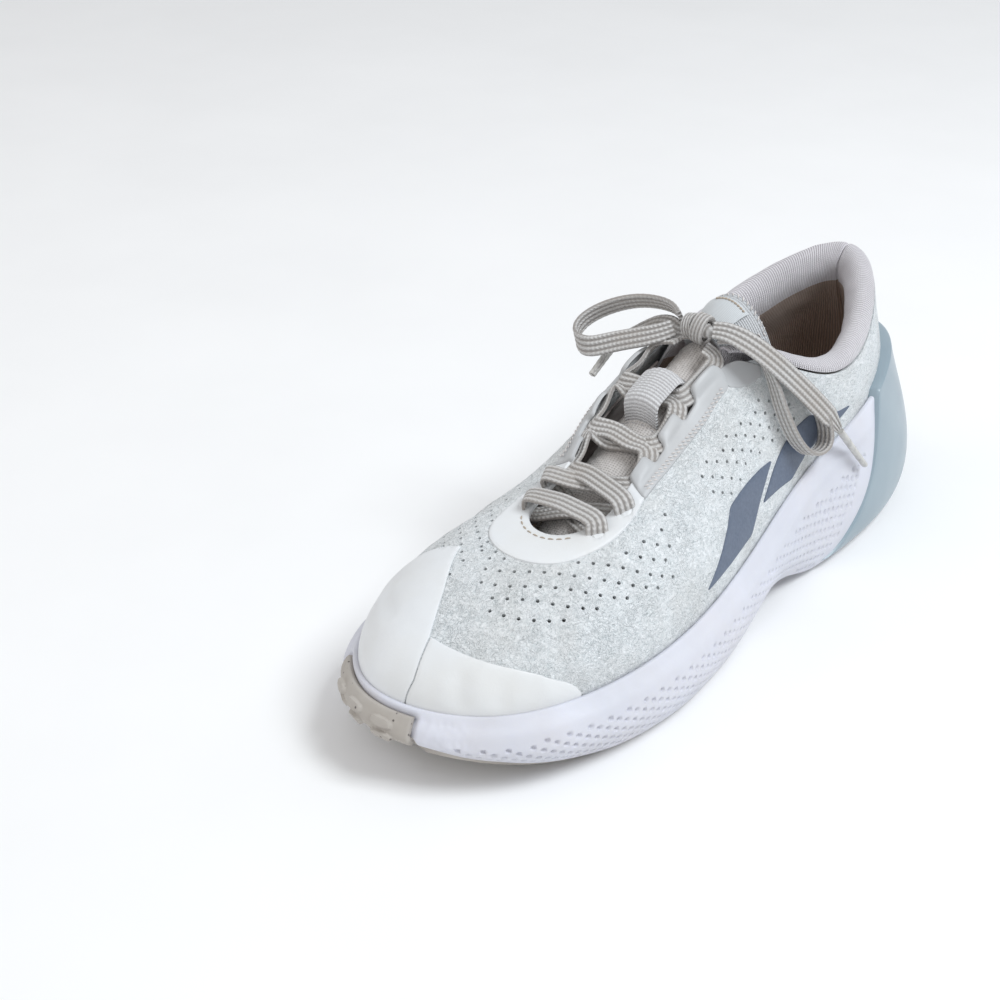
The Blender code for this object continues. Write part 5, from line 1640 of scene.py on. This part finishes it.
def make_knot():
    """The crossed wraps of the bow's knot round a packed core."""
    shape = bmesh.new()
    bmesh.ops.create_icosphere(shape, subdivisions=4, radius=1.0)
    points = np.array([tuple(v.co) for v in shape.verts])
    faces = [[v.index for v in face.verts] for face in shape.faces]
    shape.free()
    body = points * np.array([6.0, 3.7, 3.2]) * MM
    body = body * (1 + 0.06 * value_noise(body, 2.5 * MM, 51))[:, None] + KNOT
    core = add_mesh("knot_core", body, faces, body[:, :2])
    place(core, LACE, "lace_braid", "lace_knot")
    loops = (
        ("knot_wrap_front", (1.2, 0.0, 0.2), (4.3, 5.0), 0.10, 0.70),
        ("knot_wrap_back", (-3.4, 0.5, -0.3), (4.0, 3.9), -0.25, 0.58),
    )
    for name, centre, (reach, height), lean, narrow in loops:
        turn = np.linspace(-2.4, 2 * math.pi - 2.2, 26)
        ring = np.stack(
            [lean * height * np.sin(turn), reach * np.cos(turn), height * np.sin(turn)], axis=1
        )
        ring = (ring + np.array(centre)) * MM + KNOT
        axes = np.tile(np.array([1.0, 0.0, -lean]), (len(ring), 1))
        piece, _ = ribbon(name, ring, axes, 0.5 * MM, ((0, narrow), (1, narrow)))
        place(piece, LACE, "lace_braid")


def make_laces():
    """The threaded lace, held all the way, then the free loops and ends."""
    points, faces = threaded_route()
    tangent = np.gradient(points, axis=0)
    axes = np.cross(tangent / np.linalg.norm(tangent, axis=1, keepdims=True), faces)
    piece, _ = ribbon("threaded_lace", points, axes)
    place(piece, LACE, "lace_braid", "lace")
    towards = np.array([0.56, -0.65, 0.52])
    quarter = (0.93, -0.15, 0.30)
    free = (
        ("left_bow", BOW_LEFT, "lace_bow_left", "knot", BOW_LEFT_LENGTH, standing(
            BOW_LEFT, (0, (0, 0.5, -0.85)), (0.55, (0, 0.5, -0.85)),
            (0.75, (0, -0.5, -0.85)), (1, (0, -0.62, -0.78)),
        )),
        ("right_bow", BOW_RIGHT, "lace_bow_right", "knot", BOW_RIGHT_LENGTH, standing(
            BOW_RIGHT, (0, (0.5, -0.85, 0)), (0.3, quarter), (0.75, quarter), (1, (0.5, -0.85, 0)),
        )),
        ("left_end", END_LEFT, "lace_end_left", "fitting", END_LEFT_LENGTH, facing(
            END_LEFT, np.array([-0.3, -0.55, 0.8]))),
        ("right_end", END_RIGHT, "lace_end_right", "fitting", END_RIGHT_LENGTH, facing(
            END_RIGHT, towards)),
    )
    for name, route, node, far_end, length, axes in free:
        widths = ((0, 0.8), (0.12, 1), (0.88, 1), (1, 0.8))
        tips = []
        if far_end == "fitting":
            side = name.split("_")[0]
            tips = [make_aglet(side, AGLETS[side])]
            widths = ((0, 0.8), (0.15, 1), (0.86, 1), (1, 0.42))
            if side == "left":
                widths = ((0, 0.8), (0.2, 1), (0.52, 1), (0.68, 0.36), (1, 0.3))
        piece, path = ribbon(name, np.array(route) * MM, axes, widths=widths)
        place(piece, LACE, "lace_braid", node)


# ---------------------------------------------------------------- hidden layers


def finish_hidden_layers():
    """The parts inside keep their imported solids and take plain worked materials."""
    for finish, *nodes in (
        (BOARD, "toe_puff", "heel_counter", "strobel_board"),
        (LINING, "vamp_lining"),
        (PADDING, "collar_foam"),
    ):
        for node in nodes:
            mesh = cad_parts[node].data
            mesh.materials.clear()
            mesh.materials.append(finish)


# ---------------------------------------------------------------- the studio


def aim(thing, target):
    thing.rotation_mode = "QUATERNION"
    thing.rotation_quaternion = (Vector(target) - thing.location).to_track_quat("-Z", "Y")


def make_studio():
    scene = bpy.context.scene
    for name, location, size, power, tint in (
        ("key", (0.75, 0.25, 1.25), 0.6, 13.0, (0.91, 0.96, 1.0)),
        ("fill", (-1.0, -0.9, 0.8), 1.3, 3.5, (1.0, 0.95, 0.89)),
        ("front", (0.9, -1.3, 0.7), 1.4, 2.0, (1.0, 0.99, 0.97)),
    ):
        light = bpy.data.lights.new(name, "AREA")
        light.size = size
        light.energy = power
        light.color = tint
        lamp = bpy.data.objects.new(name, light)
        lamp.location = location
        aim(lamp, (0.0, 0.0, 0.04))
        scene.collection.objects.link(lamp)
    world = bpy.data.worlds.new("studio")
    world.use_nodes = True
    world.node_tree.nodes["Background"].inputs["Color"].default_value = (0.97, 0.98, 1.0, 1.0)
    world.node_tree.nodes["Background"].inputs["Strength"].default_value = 0.585
    scene.world = world
    bpy.ops.mesh.primitive_plane_add(size=6.0, location=(0, 0, 0))
    floor = bpy.context.object
    floor.name = "floor"
    paper = Finish("pale_paper")
    paper.set("Base Color", paper.ramp(paper.noise(8.0), (0.3, 0.92), (0.7, 0.95)))
    paper.set("Roughness", 0.9)
    floor.data.materials.append(paper.material)
    scene.view_settings.view_transform = "Standard"


# The camera: where it looks, in metres, and how, in degrees and millimetres
CAMERA_TARGET = (-0.0717695, -0.0043716, 0.0134881)
CAMERA_AZIMUTH = 40.7225
CAMERA_ELEVATION = 31.1739
CAMERA_DISTANCE = 0.681807
CAMERA_LENS = 60.83
CAMERA_ROLL = -0.5455


def make_camera():
    azimuth, elevation = math.radians(CAMERA_AZIMUTH), math.radians(CAMERA_ELEVATION)
    back = Vector((
        math.sin(azimuth) * math.cos(elevation),
        -math.cos(azimuth) * math.cos(elevation),
        math.sin(elevation),
    ))
    lens = bpy.data.cameras.new("photo_camera")
    lens.lens = CAMERA_LENS
    lens.sensor_width = 36.0
    camera = bpy.data.objects.new("photo_camera", lens)
    camera.location = Vector(CAMERA_TARGET) + Vector(SHIFT) + back * CAMERA_DISTANCE
    roll = Quaternion((0.0, 0.0, 1.0), math.radians(CAMERA_ROLL))
    camera.rotation_mode = "QUATERNION"
    camera.rotation_quaternion = (-back).to_track_quat("-Z", "Y") @ roll
    bpy.context.scene.collection.objects.link(camera)
    bpy.context.scene.camera = camera


make_camera()
make_laces()
make_knot()
make_suede()
make_toe_pieces()
make_vamp_patch()
make_eyestays()
make_side_marks()
make_collar()
make_sockliner()
make_midsole()
make_heel_clip()
make_toe_bumper()
make_outsole()
make_tongue()
make_tongue_top()
make_keeper()
finish_hidden_layers()
make_studio()
